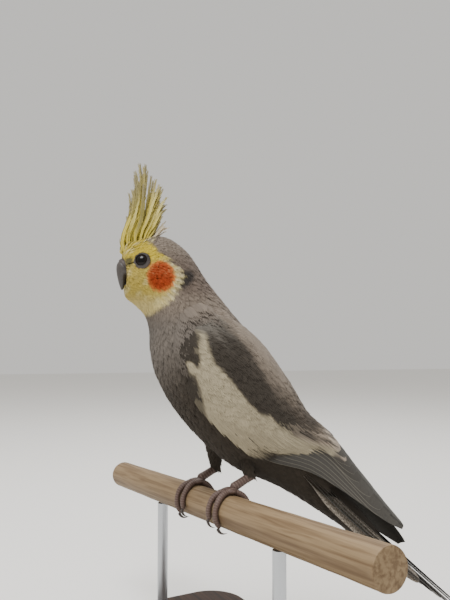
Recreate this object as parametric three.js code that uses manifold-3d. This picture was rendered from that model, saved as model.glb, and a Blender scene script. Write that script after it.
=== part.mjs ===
// A life-size cockatiel, still, gripping a short length of round wooden perch on a plain display stand.
// Millimetres, +Z up. The bird looks along -X and its left side is on -Y.
// The origin is the centre of the stand base's underside.
import * as THREE from 'three';
import { mergeVertices } from 'three/addons/utils/BufferGeometryUtils.js';
import Module from 'manifold-3d';

const wasm = await Module();
wasm.setup();

// Gap that two touching pieces keep between their faces.
const GAP = 0.3;

// Slivers narrower than this are smoothed out of a joined solid.
const SLIVER = 0.02;

// Perch: a peeled round stick that rises slightly towards its front end.
const PERCH_RADIUS = 8;
const PERCH_HEIGHT = 88;
const PERCH_DIRECTION = new THREE.Vector3(0.2555, -0.9665, 0.0577).normalize();
const PERCH_FRONT = 130;
const PERCH_BACK = -130;

// Stand: a flat plate with round corners and two rods up to the perch.
const BASE_LENGTH = 176;
const BASE_WIDTH = 112;
const BASE_THICKNESS = 10;
const BASE_CORNER = 22;
const ROD_RADIUS = 3;
const ROD_SPREAD = 62;

// Body: sections from the face to the tail coverts. Each row holds the back's point (x, z),
// the belly's point (x, z) and the half width, measured from the perch's axis under the bird.
const BODY = [
  [-45.3, 124.3, -42, 112.6, 4.4],
  [-43.9, 129.8, -40.7, 107.6, 10.8],
  [-37, 134.3, -38.2, 103, 14.6],
  [-25.5, 136.6, -34, 96.5, 16.3],
  [-13.5, 129.2, -32.3, 88.5, 17.6],
  [-3, 114.2, -31.8, 78.5, 20],
  [9.5, 98.8, -28.6, 65.5, 23.3],
  [24, 81.5, -19.5, 49.2, 24.6],
  [36, 62.5, -5.5, 33, 23],
  [46.5, 43.5, 12, 18.5, 18.5],
  [56, 27, 33, 9, 13],
  [69.5, 9.5, 53, -3, 11],
  [85, -8.5, 74.5, -17.5, 10.5],
  [97, -23, 92, -28, 7.5],
];

// Bed of the folded wings: the body's sections, then narrower ones out to the wing tips.
const WING_BED = [
  ...BODY.slice(0, 9),
  [48, 46, 12, 18.5, 18.8],
  [62.5, 34.5, 41, 11, 14.5],
  [78, 17, 61, 0, 11],
  [93, -1, 80, -12, 8.5],
  [105, -15, 99, -21, 7],
];

// Tail: where its feathers start, which way they point and the way that their upper faces look.
const TAIL_ROOT = new THREE.Vector3(44, 0, 21);
const TAIL_DIRECTION = new THREE.Vector3(0.72, 0, -0.694).normalize();
const TAIL_UP = new THREE.Vector3(0.694, 0, 0.72).normalize();

function catmullRom(a, b, c, d, t) {
  const t2 = t * t;
  const t3 = t2 * t;
  return 0.5 * (2 * b + (c - a) * t + (2 * a - 5 * b + 4 * c - d) * t2 + (3 * b - a - 3 * c + d) * t3);
}

// Smooth row of a table at the row number s, which may lie between two rows.
function rowAt(table, s) {
  const last = table.length - 1;
  const i = Math.min(Math.max(Math.floor(s), 0), last - 1);
  const pick = (k) => table[Math.min(Math.max(k, 0), last)];
  const [before, from, to, after] = [pick(i - 1), pick(i), pick(i + 1), pick(i + 2)];
  return table[0].map((_, n) => catmullRom(before[n], from[n], to[n], after[n], s - i));
}

// Point of a section. The angle is 0 on the back, a quarter turn on the bird's left side (-Y).
function sectionPoint(table, s, angle, grow = 0) {
  const [backX, backZ, bellyX, bellyZ, half] = rowAt(table, s);
  const middle = new THREE.Vector3((backX + bellyX) / 2, 0, (backZ + bellyZ) / 2);
  const rise = new THREE.Vector3(backX - bellyX, 0, backZ - bellyZ).multiplyScalar(0.5);
  const scale = 1 + grow / rise.length();
  return middle
    .addScaledVector(rise, scale * Math.cos(angle))
    .add(new THREE.Vector3(0, -(half + grow) * Math.sin(angle), 0));
}

function ringCentre(ring) {
  return ring.reduce((sum, point) => sum.add(point), new THREE.Vector3()).divideScalar(ring.length);
}

// Closed body through rings of points. A vane's underside is split like its top.
function loft(rings, flipFrom = Infinity) {
  const around = rings[0].length;
  const positions = rings.flat().flatMap((p) => [p.x, p.y, p.z]);
  const index = [];
  for (let i = 0; i + 1 < rings.length; i++) {
    for (let j = 0; j < around; j++) {
      const a = i * around + j;
      const b = i * around + ((j + 1) % around);
      const c = a + around;
      const d = b + around;
      if (j >= flipFrom) index.push(a, b, c, b, d, c);
      else index.push(a, b, d, a, d, c);
    }
  }
  for (const [ring, start] of [[rings[0], 0], [rings.at(-1), (rings.length - 1) * around]]) {
    const centre = positions.length / 3;
    const middle = ringCentre(ring);
    positions.push(middle.x, middle.y, middle.z);
    for (let j = 0; j < around; j++) {
      const a = start + j;
      const b = start + ((j + 1) % around);
      if (start === 0) index.push(centre, b, a);
      else index.push(centre, a, b);
    }
  }
  const geometry = new THREE.BufferGeometry();
  geometry.setAttribute('position', new THREE.Float32BufferAttribute(positions, 3));
  geometry.setIndex(index);
  return geometry;
}

function toSolid(geometry) {
  const bare = geometry.clone();
  bare.deleteAttribute('normal');
  bare.deleteAttribute('uv');
  const merged = mergeVertices(bare, 1e-4);
  const solid = new wasm.Manifold(new wasm.Mesh({
    numProp: 3,
    vertProperties: new Float32Array(merged.attributes.position.array),
    triVerts: new Uint32Array(merged.index.array),
  }));
  return solid.volume() < 0 ? toSolid(turned(merged)) : solid;
}

// The same geometry with every face looking the other way.
function turned(geometry) {
  const flipped = geometry.clone();
  const index = flipped.index.array;
  for (let i = 0; i < index.length; i += 3) {
    [index[i], index[i + 1]] = [index[i + 1], index[i]];
  }
  return flipped;
}

// Largest closed surface of a solid, free of slivers.
function tidy(solid) {
  const pieces = solid.simplify(SLIVER).decompose();
  return pieces.reduce((best, piece) => (piece.volume() > best.volume() ? piece : best));
}

function toGeometry(solid) {
  const mesh = solid.getMesh();
  const geometry = new THREE.BufferGeometry();
  geometry.setAttribute('position', new THREE.BufferAttribute(new Float32Array(mesh.vertProperties), 3));
  geometry.setIndex(new THREE.BufferAttribute(new Uint32Array(mesh.triVerts), 1));
  geometry.computeVertexNormals();
  return geometry;
}

const cockatiel = new THREE.Group();
const bird = new THREE.Group();
bird.position.z = PERCH_HEIGHT;
cockatiel.add(bird);

function addNode(group, name, solid, material) {
  const mesh = new THREE.Mesh(toGeometry(tidy(solid)), material);
  mesh.name = name;
  group.add(mesh);
}

function finish(color, roughness, metalness = 0) {
  return new THREE.MeshStandardMaterial({ color, roughness, metalness });
}

// Body, from the bill's root to the tail coverts, made whole and then parted by thin cuts.
const BODY_AROUND = 24;
const BODY_ALONG = 34;

function bodyLoft(grow = 0) {
  const rings = [];
  for (let i = 0; i <= BODY_ALONG; i++) {
    const s = (i / BODY_ALONG) * (BODY.length - 1);
    const ring = [];
    for (let j = 0; j < BODY_AROUND; j++) {
      ring.push(sectionPoint(BODY, s, (j / BODY_AROUND) * 2 * Math.PI, grow));
    }
    rings.push(ring);
  }
  const forward = ringCentre(rings[0]).sub(ringCentre(rings[1])).normalize();
  for (const point of rings[0]) point.addScaledVector(forward, grow);
  return toSolid(loft(rings));
}

const wholeBody = bodyLoft();
const bodyClearance = bodyLoft(GAP);

// Cut across the body through a point of the back and one of the belly, both (x, z).
function crossCut(back, belly) {
  const across = new THREE.Vector3(back[0] - belly[0], 0, back[1] - belly[1]).normalize();
  const normal = new THREE.Vector3(-across.z, 0, across.x);
  if (normal.x > 0) normal.negate();
  return { normal, offset: normal.dot(new THREE.Vector3(back[0], 0, back[1])) };
}

const headCut = crossCut([-9, 123], [-34.5, 98]);
const neckCut = crossCut([6, 103], [-31.5, 74]);
const tailCut = crossCut([58, 24.5], [38, 5.5]);

function frontOf(solid, cut) {
  return solid.trimByPlane(cut.normal.toArray(), cut.offset + GAP / 2);
}

function behind(solid, cut) {
  return solid.trimByPlane(cut.normal.clone().negate().toArray(), -cut.offset + GAP / 2);
}

// Eyes: set in sockets on the head's surface, with a raised ring of bare skin around each.
const EYE_SECTION = 1.9;
const EYE_ANGLE = 1.31;
const EYE_RADIUS = 3.6;
const EYE_SUNK = 2.3;
const EYE_SIDES = 14;
const EYE_BANDS = 9;
const LID_RADIUS = 3.45;
const LID_THICKNESS = 0.8;
const LID_SIDES = 18;
const LID_SECTION_SIDES = 6;

// Point and outward direction of the head's surface at the middle of an eye.
function eyeSeat(side) {
  const step = 0.01;
  const point = sectionPoint(BODY, EYE_SECTION, EYE_ANGLE);
  const along = sectionPoint(BODY, EYE_SECTION + step, EYE_ANGLE).sub(point);
  const around = sectionPoint(BODY, EYE_SECTION, EYE_ANGLE + step).sub(point);
  const outward = new THREE.Vector3().crossVectors(along, around).normalize();
  if (outward.y > 0) outward.negate();
  const flip = new THREE.Vector3(1, -side, 1);
  return { point: point.multiply(flip), outward: outward.multiply(flip) };
}

function eyeBall(side, grow = 0) {
  const { point, outward } = eyeSeat(side);
  const ball = new THREE.SphereGeometry(EYE_RADIUS + grow, EYE_SIDES, EYE_BANDS);
  ball.rotateX(Math.PI / 2);
  ball.applyQuaternion(new THREE.Quaternion().setFromUnitVectors(new THREE.Vector3(0, 0, 1), outward));
  const centre = point.addScaledVector(outward, -EYE_SUNK);
  ball.translate(centre.x, centre.y, centre.z);
  return toSolid(ball);
}

function lidRing(side) {
  const { point, outward } = eyeSeat(side);
  const ring = new THREE.TorusGeometry(LID_RADIUS, LID_THICKNESS, LID_SECTION_SIDES, LID_SIDES);
  ring.applyQuaternion(new THREE.Quaternion().setFromUnitVectors(new THREE.Vector3(0, 0, 1), outward));
  ring.translate(point.x, point.y, point.z);
  return toSolid(ring);
}

// Bill: the upper half hooks down over the lower one; the cere is the swelling at its root.
const BILL_UPPER = [
  { at: [-42.3, 119.4], up: [-0.45, 0.89], high: 5.8, wide: 4.8 },
  { at: [-45.2, 119], up: [-0.6, 0.8], high: 5, wide: 4.5 },
  { at: [-46.3, 116.4], up: [-0.93, 0.37], high: 2.8, wide: 3.5 },
  { at: [-46.1, 112.7], up: [-1, 0.05], high: 1.8, wide: 2.3 },
  { at: [-46.1, 109], up: [-0.95, -0.3], high: 0.5, wide: 0.6 },
];
const BILL_LOWER = [
  { at: [-39.8, 113.4], up: [-0.5, 0.86], high: 3, wide: 3.7 },
  { at: [-42.6, 112.3], up: [-0.75, 0.66], high: 1.9, wide: 3 },
  { at: [-44, 111.4], up: [-0.9, 0.44], high: 0.8, wide: 1.8 },
];

const BILL_SIDES = 14;

function billLoft(rows) {
  const rings = rows.map((row) => {
    const ring = [];
    for (let j = 0; j < BILL_SIDES; j++) {
      const angle = (j / BILL_SIDES) * 2 * Math.PI;
      const rise = row.high * Math.cos(angle);
      ring.push(new THREE.Vector3(
        row.at[0] + row.up[0] * rise,
        -row.wide * Math.sin(angle),
        row.at[1] + row.up[1] * rise,
      ));
    }
    return ring;
  });
  return toSolid(loft(rings));
}

const NOSTRIL = { x: -47.2, y: 2.3, z: 122.3, radius: 0.8 };
const NOSTRIL_SIDES = 8;
const NOSTRIL_BANDS = 6;

function nostril(side) {
  const pit = new THREE.SphereGeometry(NOSTRIL.radius, NOSTRIL_SIDES, NOSTRIL_BANDS);
  pit.translate(NOSTRIL.x, side * NOSTRIL.y, NOSTRIL.z);
  return toSolid(pit);
}

// Seeded random numbers from 0 to 1.
function randomFrom(seed) {
  let state = seed;
  return () => {
    state = (state + 0x6d2b79f5) | 0;
    let t = Math.imul(state ^ (state >>> 15), 1 | state);
    t = (t + Math.imul(t ^ (t >>> 7), 61 | t)) ^ t;
    return ((t ^ (t >>> 14)) >>> 0) / 4294967296;
  };
}

// Thin blade through four-cornered stations: top left, top right, bottom right, bottom left.
const VANE_UNDERSIDE = 2;

function vaneSolid(stations) {
  return toSolid(loft(stations, VANE_UNDERSIDE));
}

// Share of a vane's full width at the share t of its length: narrow root, rounded tip.
const OPENING_RATE = 3;

function vaneProfile(t, rootShare, tipShare, tipLength) {
  const opening = Math.min(1, rootShare + (1 - rootShare) * t * OPENING_RATE);
  const beyond = Math.max(0, (t - 1 + tipLength) / tipLength);
  return opening * (tipShare + (1 - tipShare) * Math.sqrt(Math.max(0, 1 - beyond * beyond)));
}

// Crest: long feathers from the forehead and shorter ones behind, in pairs along the crown.
const CREST_PAIRS = 9;
const CREST_THICKNESS = 0.65;
const CREST_THINNING = 0.4;
const CREST_STEPS = 5;
const CREST_ROOT_OUT = 1.1;
// Least distance of a plume's bend from the head's middle, and how much more it may be.
const CREST_OUT = 0.5;
const CREST_SPREAD = 1.6;
// How far roots, bends and tips stray along the head, and tips in length.
const CREST_STRAY = { root: 1, bend: 1.2, tip: 3, length: 5 };
// Turn of a plume's flat side, in radians.
const CREST_TURN = 0.5;
const CREST_TURN_STRAY = 0.6;
// Shares of a plume's width at root and tip, and of its length that tapers.
const CREST_PROFILE = [0.6, 0.12, 0.55];
const CREST_GUIDES = [
  // root x and z, bend x and z, tip x and z, width at the middle
  [-44.6, 127.5, -45.6, 149, -38.5, 174.5, 3],
  [-42.6, 130, -41.6, 151, -32.6, 176, 3.2],
  [-40.4, 131.5, -37.6, 149, -27, 166.5, 3.3],
  [-37.6, 132.5, -34.5, 142, -25.2, 153.5, 3.2],
  [-34.5, 133.3, -31, 138, -27, 145.5, 3],
  [-31.5, 134, -29, 136.5, -27.5, 140.5, 2.8],
];

function crestSolid() {
  const random = randomFrom(7);
  let crest = null;
  for (let pair = 0; pair < CREST_PAIRS; pair++) {
    for (const side of [-1, 1]) {
      const share = (2 * pair + (side + 1) / 2) / (2 * CREST_PAIRS - 1);
      const guide = rowAt(CREST_GUIDES, share * (CREST_GUIDES.length - 1));
      const [rootX, rootZ, bendX, bendZ, tipX, tipZ, width] = guide;
      const stray = (most) => most * (random() - 0.5);
      const out = side * (CREST_OUT + CREST_SPREAD * random());
      const root = new THREE.Vector3(rootX + stray(CREST_STRAY.root), side * CREST_ROOT_OUT, rootZ);
      const bend = new THREE.Vector3(bendX + stray(CREST_STRAY.bend), out, bendZ);
      const tip = new THREE.Vector3(tipX + stray(CREST_STRAY.tip), out, tipZ - CREST_STRAY.length * random());
      const line = new THREE.QuadraticBezierCurve3(root, bend, tip);
      const turn = side * (CREST_TURN + CREST_TURN_STRAY * random());
      const across = new THREE.Vector3(Math.sin(turn), Math.cos(turn), 0);
      const stations = [];
      for (let i = 0; i <= CREST_STEPS; i++) {
        const t = i / CREST_STEPS;
        const half = (width / 2) * vaneProfile(t, ...CREST_PROFILE);
        const face = new THREE.Vector3().crossVectors(line.getTangent(t), across).normalize();
        const thick = (CREST_THICKNESS / 2) * (1 - CREST_THINNING * t);
        stations.push([[-1, 1], [1, 1], [1, -1], [-1, -1]].map(([x, y]) => line.getPoint(t)
          .addScaledVector(across, x * half)
          .addScaledVector(face, y * thick)));
      }
      const feather = vaneSolid(stations);
      crest = crest ? crest.add(feather) : feather;
    }
  }
  return crest;
}

// Folded wing: a patch of the wing bed between two angles, thin at its tip.
const WING_ROWS = [
  // bed row, lower angle, upper angle in degrees
  [5.3, 98, 86],
  [5.55, 113, 66],
  [6, 120, 46],
  [6.6, 122, 26],
  [7.5, 121, 13],
  [8.5, 116, 11],
  [9.3, 110, 12],
  [10, 106, 13],
  [11, 98, 16],
  [12, 88, 22],
  [12.9, 66, 38],
];

// The right wing lies a little lower and further back than the left one at its tip.
const RIGHT_WING_DROOP = 5;
const RIGHT_WING_REACH = 13;

function wingPoint(side, along, across, height) {
  const [row, low, high] = rowAt(WING_ROWS, along * (WING_ROWS.length - 1));
  const angle = THREE.MathUtils.degToRad(THREE.MathUtils.lerp(low, high, across));
  const point = sectionPoint(WING_BED, row, angle, height);
  if (side > 0) {
    point.y *= -1;
    point.addScaledVector(TAIL_UP, -RIGHT_WING_DROOP * along ** 2);
    point.addScaledVector(TAIL_DIRECTION, RIGHT_WING_REACH * along ** 2);
  }
  return point;
}

// Flesh and lesser coverts: a patch over the front of the wing, thinning under the long feathers.
const WING_CORE_END = 0.8;
const WING_CORE_STEPS = 16;
const WING_CORE_ACROSS = 8;
const WING_CORE_EDGE = 0.03;
// Heights over the bed: at the arm, and under the long feathers, which thin towards the tip.
const ARM_HEIGHT = 3;
const QUILL_HEIGHT = 1.5;
const QUILL_THINNING = 0.9;
// How the front edge rises out of the body: share at the edge, and gain for each share along.
const SHOULDER_SHARE = 0.35;
const SHOULDER_RATE = 5;
const ARM_DEPTH = 4;
const QUILL_DEPTH = 0.1;
const DEPTH_RATE = 1.5;
// Share of the height that the core keeps at its two edges.
const CORE_EDGE_HEIGHT = 0.5;

function wingCore(side) {
  const rings = [];
  for (let i = 0; i <= WING_CORE_STEPS; i++) {
    const along = (i / WING_CORE_STEPS) * WING_CORE_END;
    const rise = Math.min(1, SHOULDER_SHARE + along * SHOULDER_RATE);
    const thinning = THREE.MathUtils.smoothstep(along, 0.2, 0.5);
    const proud = rise * THREE.MathUtils.lerp(ARM_HEIGHT, QUILL_HEIGHT - QUILL_THINNING * along, thinning);
    const depth = THREE.MathUtils.lerp(ARM_DEPTH, QUILL_DEPTH, Math.min(1, along * DEPTH_RATE));
    const outer = [];
    const inner = [];
    for (let j = 0; j <= WING_CORE_ACROSS; j++) {
      const share = j / WING_CORE_ACROSS;
      const across = THREE.MathUtils.lerp(WING_CORE_EDGE, 1 - WING_CORE_EDGE, share);
      const crown = CORE_EDGE_HEIGHT + (1 - CORE_EDGE_HEIGHT) * Math.sqrt(Math.sin(share * Math.PI));
      outer.push(wingPoint(side, along, across, proud * crown));
      inner.unshift(wingPoint(side, along, across, -depth));
    }
    rings.push([...outer, ...inner]);
  }
  return toSolid(loft(rings));
}

// Tiers of wing feathers, lowest first. Roots and tips are (along, across) shares of the wing,
// from the feather nearest the wing's lower edge to the one nearest the back.
const WING_TIERS = [
  { name: 'primaries', count: 6, root: [[0.42, 0.08], [0.4, 0.56]], tip: [[0.985, 0.2], [0.83, 0.66]],
    overlap: 1.75, height: [1.2, 1.5], tilt: 1.1, late: 0.035, curve: true },
  { name: 'secondaries', count: 4, root: [[0.36, 0.6], [0.34, 0.9]], tip: [[0.8, 0.72], [0.69, 0.92]],
    overlap: 1.6, height: [1.7, 2.1], tilt: 1.1, late: 0, curve: true },
  { name: 'primary coverts', count: 2, root: [[0.33, 0.06], [0.36, 0.22]], tip: [[0.56, 0.08], [0.61, 0.22]],
    overlap: 1.4, height: [2, 2.1], tilt: 0.9, late: 0 },
  { name: 'greater coverts', count: 5, root: [[0.26, 0.16], [0.36, 0.66]], tip: [[0.46, 0.13], [0.63, 0.7]],
    overlap: 1.35, height: [2.4, 2.6], tilt: 0.9, late: 0 },
  { name: 'median coverts', count: 4, root: [[0.14, 0.16], [0.24, 0.64]], tip: [[0.31, 0.12], [0.46, 0.64]],
    overlap: 1.35, height: [2.9, 3.1], tilt: 0.8, late: 0 },
  { name: 'scapulars', count: 3, root: [[0.2, 0.72], [0.2, 0.93]], tip: [[0.53, 0.74], [0.49, 0.93]],
    overlap: 1.3, height: [2.9, 3.1], tilt: 0.8, late: 0 },
];
const LONG_VANE_STATIONS = [0, 0.35, 0.65, 0.92, 1];
const SHORT_VANE_STATIONS = [0, 0.45, 0.82, 1];
const VANE_THICKNESS = 0.6;
// How deep a root is sunk, and by which share of its length a vane is out of the core.
const VANE_SINK = 1.7;
const VANE_FREE_FROM = 0.3;
const VANE_ROOT_SHARE = 0.6;
const VANE_TIP_SHARE = 0.15;
const LONG_TIP = 0.2;
const SHORT_TIP = 0.45;
const TIP_STRAY = 0.012;
// Feathers end in steps at the wing's two edges, so that no two of them share a face.
const EDGE_STEP = 0.003;
// Share of the height that feathers keep at the wing's edges.
const EDGE_HEIGHT = 0.6;

function crownAt(across) {
  const inside = THREE.MathUtils.clamp(across, 0.02, 0.98);
  return EDGE_HEIGHT + (1 - EDGE_HEIGHT) * Math.sqrt(Math.sin(Math.PI * inside));
}

function wingFeathers(side) {
  const random = randomFrom(21);
  let feathers = null;
  for (const { count, root, tip, overlap, height, tilt, late, curve } of WING_TIERS) {
    for (let k = 0; k < count; k++) {
      const u = k / (count - 1);
      const mixPoint = (pair) => [0, 1].map((n) => THREE.MathUtils.lerp(pair[0][n], pair[1][n], u));
      const from = mixPoint(root);
      const to = mixPoint(tip);
      to[0] += late * Math.sin(u * Math.PI) + TIP_STRAY * (random() - 0.5);
      const level = THREE.MathUtils.lerp(height[0], height[1], u);
      const stations = (curve ? LONG_VANE_STATIONS : SHORT_VANE_STATIONS).map((t) => {
        const along = THREE.MathUtils.lerp(from[0], to[0], t);
        const across = THREE.MathUtils.lerp(from[1], to[1], t);
        const pitch = THREE.MathUtils.lerp(root[1][1] - root[0][1], tip[1][1] - tip[0][1], t) / (count - 1);
        const profile = vaneProfile(t, VANE_ROOT_SHARE, VANE_TIP_SHARE, curve ? LONG_TIP : SHORT_TIP);
        const half = 0.5 * overlap * pitch * profile;
        const low = Math.max(across - half, EDGE_STEP * k);
        const high = Math.min(across + half, 1 - EDGE_STEP * (count - k));
        const sunk = level * crownAt(across) - VANE_SINK * Math.max(0, 1 - t / VANE_FREE_FROM);
        return [
          wingPoint(side, along, high, sunk - tilt / 2 + VANE_THICKNESS),
          wingPoint(side, along, low, sunk + tilt / 2 + VANE_THICKNESS),
          wingPoint(side, along, low, sunk + tilt / 2),
          wingPoint(side, along, high, sunk - tilt / 2),
        ];
      });
      const feather = vaneSolid(stations);
      feathers = feathers ? feathers.add(feather) : feather;
    }
  }
  return feathers;
}

function wingSolid(side) {
  return wingCore(side).add(wingFeathers(side)).subtract(bodyClearance);
}

// Tail: twelve feathers in a stack, the longest pair on top, each pair below it shorter and set further out.
const TAIL_LENGTHS = [149, 138, 124, 111, 100, 90];
const TAIL_WIDTHS = [10.5, 10, 9.5, 9.5, 9, 8.5];
const TAIL_LAYER = 0.95;
const TAIL_THICKNESS = 0.62;
const TAIL_STEPS = [0, 0.35, 0.65, 0.85, 0.95, 1];
const TAIL_TOP = 3;
// How far the longest tip curves up, and by how much each pair leans outwards.
const TAIL_CURVE = 5;
const TAIL_LEAN = 0.02;
const TAIL_FAN = 0.012;
const TAIL_STEP_OUT = 0.95;
const TAIL_THINNING = 0.3;

function tailFeather(side, pair) {
  const layer = pair === 0 ? (side < 0 ? 0 : 1) : pair + 1;
  const length = TAIL_LENGTHS[pair];
  const stations = TAIL_STEPS.map((t) => {
    const width = TAIL_WIDTHS[pair] * vaneProfile(t, 0.7, 0.1, 0.42 - 0.03 * pair);
    const beside = 0.4 + TAIL_WIDTHS[pair] / 2 + TAIL_STEP_OUT * pair + TAIL_FAN * pair * t * length;
    const middle = pair === 0 ? 1.1 : beside;
    const lift = TAIL_CURVE * (t * length / TAIL_LENGTHS[0]) ** 2;
    const centre = TAIL_ROOT.clone()
      .addScaledVector(TAIL_DIRECTION, t * length)
      .addScaledVector(TAIL_UP, TAIL_TOP - layer * TAIL_LAYER * (1 - 0.15 * t) + lift);
    const half = (TAIL_THICKNESS / 2) * (1 - TAIL_THINNING * t);
    return [[-1, 1], [1, 1], [1, -1], [-1, -1]].map(([x, y]) => {
      const out = middle + (x * width) / 2;
      return centre.clone()
        .add(new THREE.Vector3(0, side * out, 0))
        .addScaledVector(TAIL_UP, y * half - TAIL_LEAN * pair * out);
    });
  });
  return vaneSolid(stations);
}

function tailSolid() {
  let tail = wholeBody;
  for (let pair = 0; pair < TAIL_LENGTHS.length; pair++) {
    for (const side of [-1, 1]) tail = tail.add(tailFeather(side, pair));
  }
  return behind(tail, tailCut);
}

// Legs: a feathered shin on each side, cut flat at the heel where the bare foot begins.
const FOOT_SPREAD = 18;
const perchFront = new THREE.Vector3().crossVectors(PERCH_DIRECTION, new THREE.Vector3(0, 0, 1)).normalize();
if (perchFront.x > 0) perchFront.negate();
const perchUp = new THREE.Vector3().crossVectors(perchFront, PERCH_DIRECTION).normalize();
if (perchUp.z < 0) perchUp.negate();

function onPerch(distance, forward, up) {
  return new THREE.Vector3()
    .addScaledVector(PERCH_DIRECTION, distance)
    .addScaledVector(perchFront, forward)
    .addScaledVector(perchUp, up);
}

// Round tube through points, with a radius at each.
function tube(points, radii, sides = 7) {
  const rings = points.map((point, i) => {
    const before = points[Math.max(i - 1, 0)];
    const after = points[Math.min(i + 1, points.length - 1)];
    const way = after.clone().sub(before).normalize();
    const side = new THREE.Vector3().crossVectors(way, PERCH_DIRECTION);
    if (side.length() < 0.1) side.set(0, 0, 1);
    side.normalize();
    const up = new THREE.Vector3().crossVectors(side, way).normalize();
    const ring = [];
    for (let j = 0; j < sides; j++) {
      const angle = (j / sides) * 2 * Math.PI;
      ring.push(point.clone()
        .addScaledVector(side, radii[i] * Math.cos(angle))
        .addScaledVector(up, radii[i] * Math.sin(angle)));
    }
    return ring;
  });
  return toSolid(loft(rings));
}

// Heel and middle of the foot, from the perch's axis; hip, from the heel.
const HEEL_BACK = 12.5;
const HEEL_UP = 7.5;
const FOOT_BACK = 1.5;
const FOOT_DEPTH = 2.2;
const HIP = { x: -3, inwards: 8, z: 22 };
const SHIN_RADII = [2.3, 4, 5.2, 6.5];
const SHIN_SIDES = 14;
const SHANK_RADII = [2.1, 1.9, 1.9, 2.4];
const SHANK_SIDES = 10;

function legParts(side) {
  const distance = -side * FOOT_SPREAD;
  const sole = onPerch(distance, -FOOT_BACK, PERCH_RADIUS + GAP + FOOT_DEPTH);
  const heel = onPerch(distance, -HEEL_BACK, PERCH_RADIUS + HEEL_UP);
  const hip = heel.clone().add(new THREE.Vector3(HIP.x, -side * HIP.inwards, HIP.z));
  const shin = hip.clone().sub(heel).normalize();
  return { distance, sole, heel, hip, shin };
}

function legSolid(side) {
  const { heel, hip } = legParts(side);
  const points = [0, 0.25, 0.5, 1].map((t) => heel.clone().lerp(hip, t));
  return tube(points, SHIN_RADII, SHIN_SIDES).subtract(bodyClearance);
}

const TOE_SIDES = 6;
const TOE_STEPS = 6;
const TOE_TAPER = 0.25;
const CLAW_SIDES = 5;
const CLAW_STEPS = 4;
// A claw's length in radians round the perch, its thickness at root and tip, its lift and its arch.
const CLAW_SWEEP = 0.62;
const CLAW_RADII = [0.95, 0.25];
const CLAW_LIFT = 0.7;
const CLAW_ARCH = 0.9;

function toe(side, sideways, turn, startAngle, endAngle, radius) {
  const { distance } = legParts(side);
  const points = [];
  const radii = [];
  for (let i = 0; i <= TOE_STEPS; i++) {
    const t = i / TOE_STEPS;
    const angle = THREE.MathUtils.lerp(startAngle, endAngle, t);
    const reach = PERCH_RADIUS + GAP + radius + 0.1;
    points.push(onPerch(
      distance + sideways * (0.35 + 0.65 * Math.min(1, t * 2)),
      turn * reach * Math.sin(angle),
      reach * Math.cos(angle),
    ));
    radii.push(radius * (1 - TOE_TAPER * t));
  }
  return tube(points, radii, TOE_SIDES);
}

function claw(side, sideways, turn, startAngle, radius) {
  const { distance } = legParts(side);
  const points = [];
  const radii = [];
  for (let i = 0; i <= CLAW_STEPS; i++) {
    const t = i / CLAW_STEPS;
    const angle = startAngle + t * CLAW_SWEEP;
    const lift = CLAW_LIFT + CLAW_ARCH * (Math.sin(t * Math.PI) - t);
    const reach = PERCH_RADIUS + GAP + radius + lift;
    points.push(onPerch(distance + sideways, turn * reach * Math.sin(angle), reach * Math.cos(angle)));
    radii.push(THREE.MathUtils.lerp(...CLAW_RADII, t));
  }
  return tube(points, radii, CLAW_SIDES);
}

// Toes of one foot: two forward, two back, as parrots have them.
const TOES = [
  { sideways: -3.4, turn: 1, end: 1.95 },
  { sideways: 3.6, turn: 1, end: 2.3 },
  { sideways: -3, turn: -1, end: 1.7 },
  { sideways: 3.4, turn: -1, end: 2.15 },
];
const TOE_RADIUS = 1.75;
const TOE_START = -0.25;
const CLAW_OVERLAP = 0.1;
const CLAW_DEPTH_SHARE = 0.75;

function footSolid(side) {
  const { distance, sole, heel, shin } = legParts(side);
  const start = heel.clone().addScaledVector(shin, -GAP);
  const shank = [start, heel.clone().lerp(sole, 0.3), heel.clone().lerp(sole, 0.7), sole];
  let foot = tube(shank, SHANK_RADII, SHANK_SIDES);
  foot = foot.trimByPlane(shin.clone().negate().toArray(), -shin.dot(start));
  for (const { sideways, turn, end } of TOES) {
    const outward = -side * sideways;
    foot = foot.add(toe(side, outward, turn, TOE_START, end, TOE_RADIUS));
    foot = foot.add(claw(side, outward, turn, end - CLAW_OVERLAP, TOE_RADIUS * CLAW_DEPTH_SHARE));
  }
  return foot.subtract(perchSolid(GAP));
}

// Perch: a round stick with softened ends.
const PERCH_SIDES = 40;
const PERCH_EDGE = 1;

function perchSolid(grow = 0) {
  const rows = [
    [PERCH_BACK, PERCH_RADIUS - PERCH_EDGE], [PERCH_BACK + PERCH_EDGE, PERCH_RADIUS],
    [PERCH_FRONT - PERCH_EDGE, PERCH_RADIUS], [PERCH_FRONT, PERCH_RADIUS - PERCH_EDGE],
  ];
  return toSolid(loft(rows.map(([distance, radius]) => {
    const ring = [];
    for (let j = 0; j < PERCH_SIDES; j++) {
      const angle = (j / PERCH_SIDES) * 2 * Math.PI;
      ring.push(onPerch(distance, (radius + grow) * Math.sin(angle), (radius + grow) * Math.cos(angle)));
    }
    return ring;
  })));
}

// Stand.
const CORNER_STEPS = 8;
const ROD_SIDES = 24;

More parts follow.
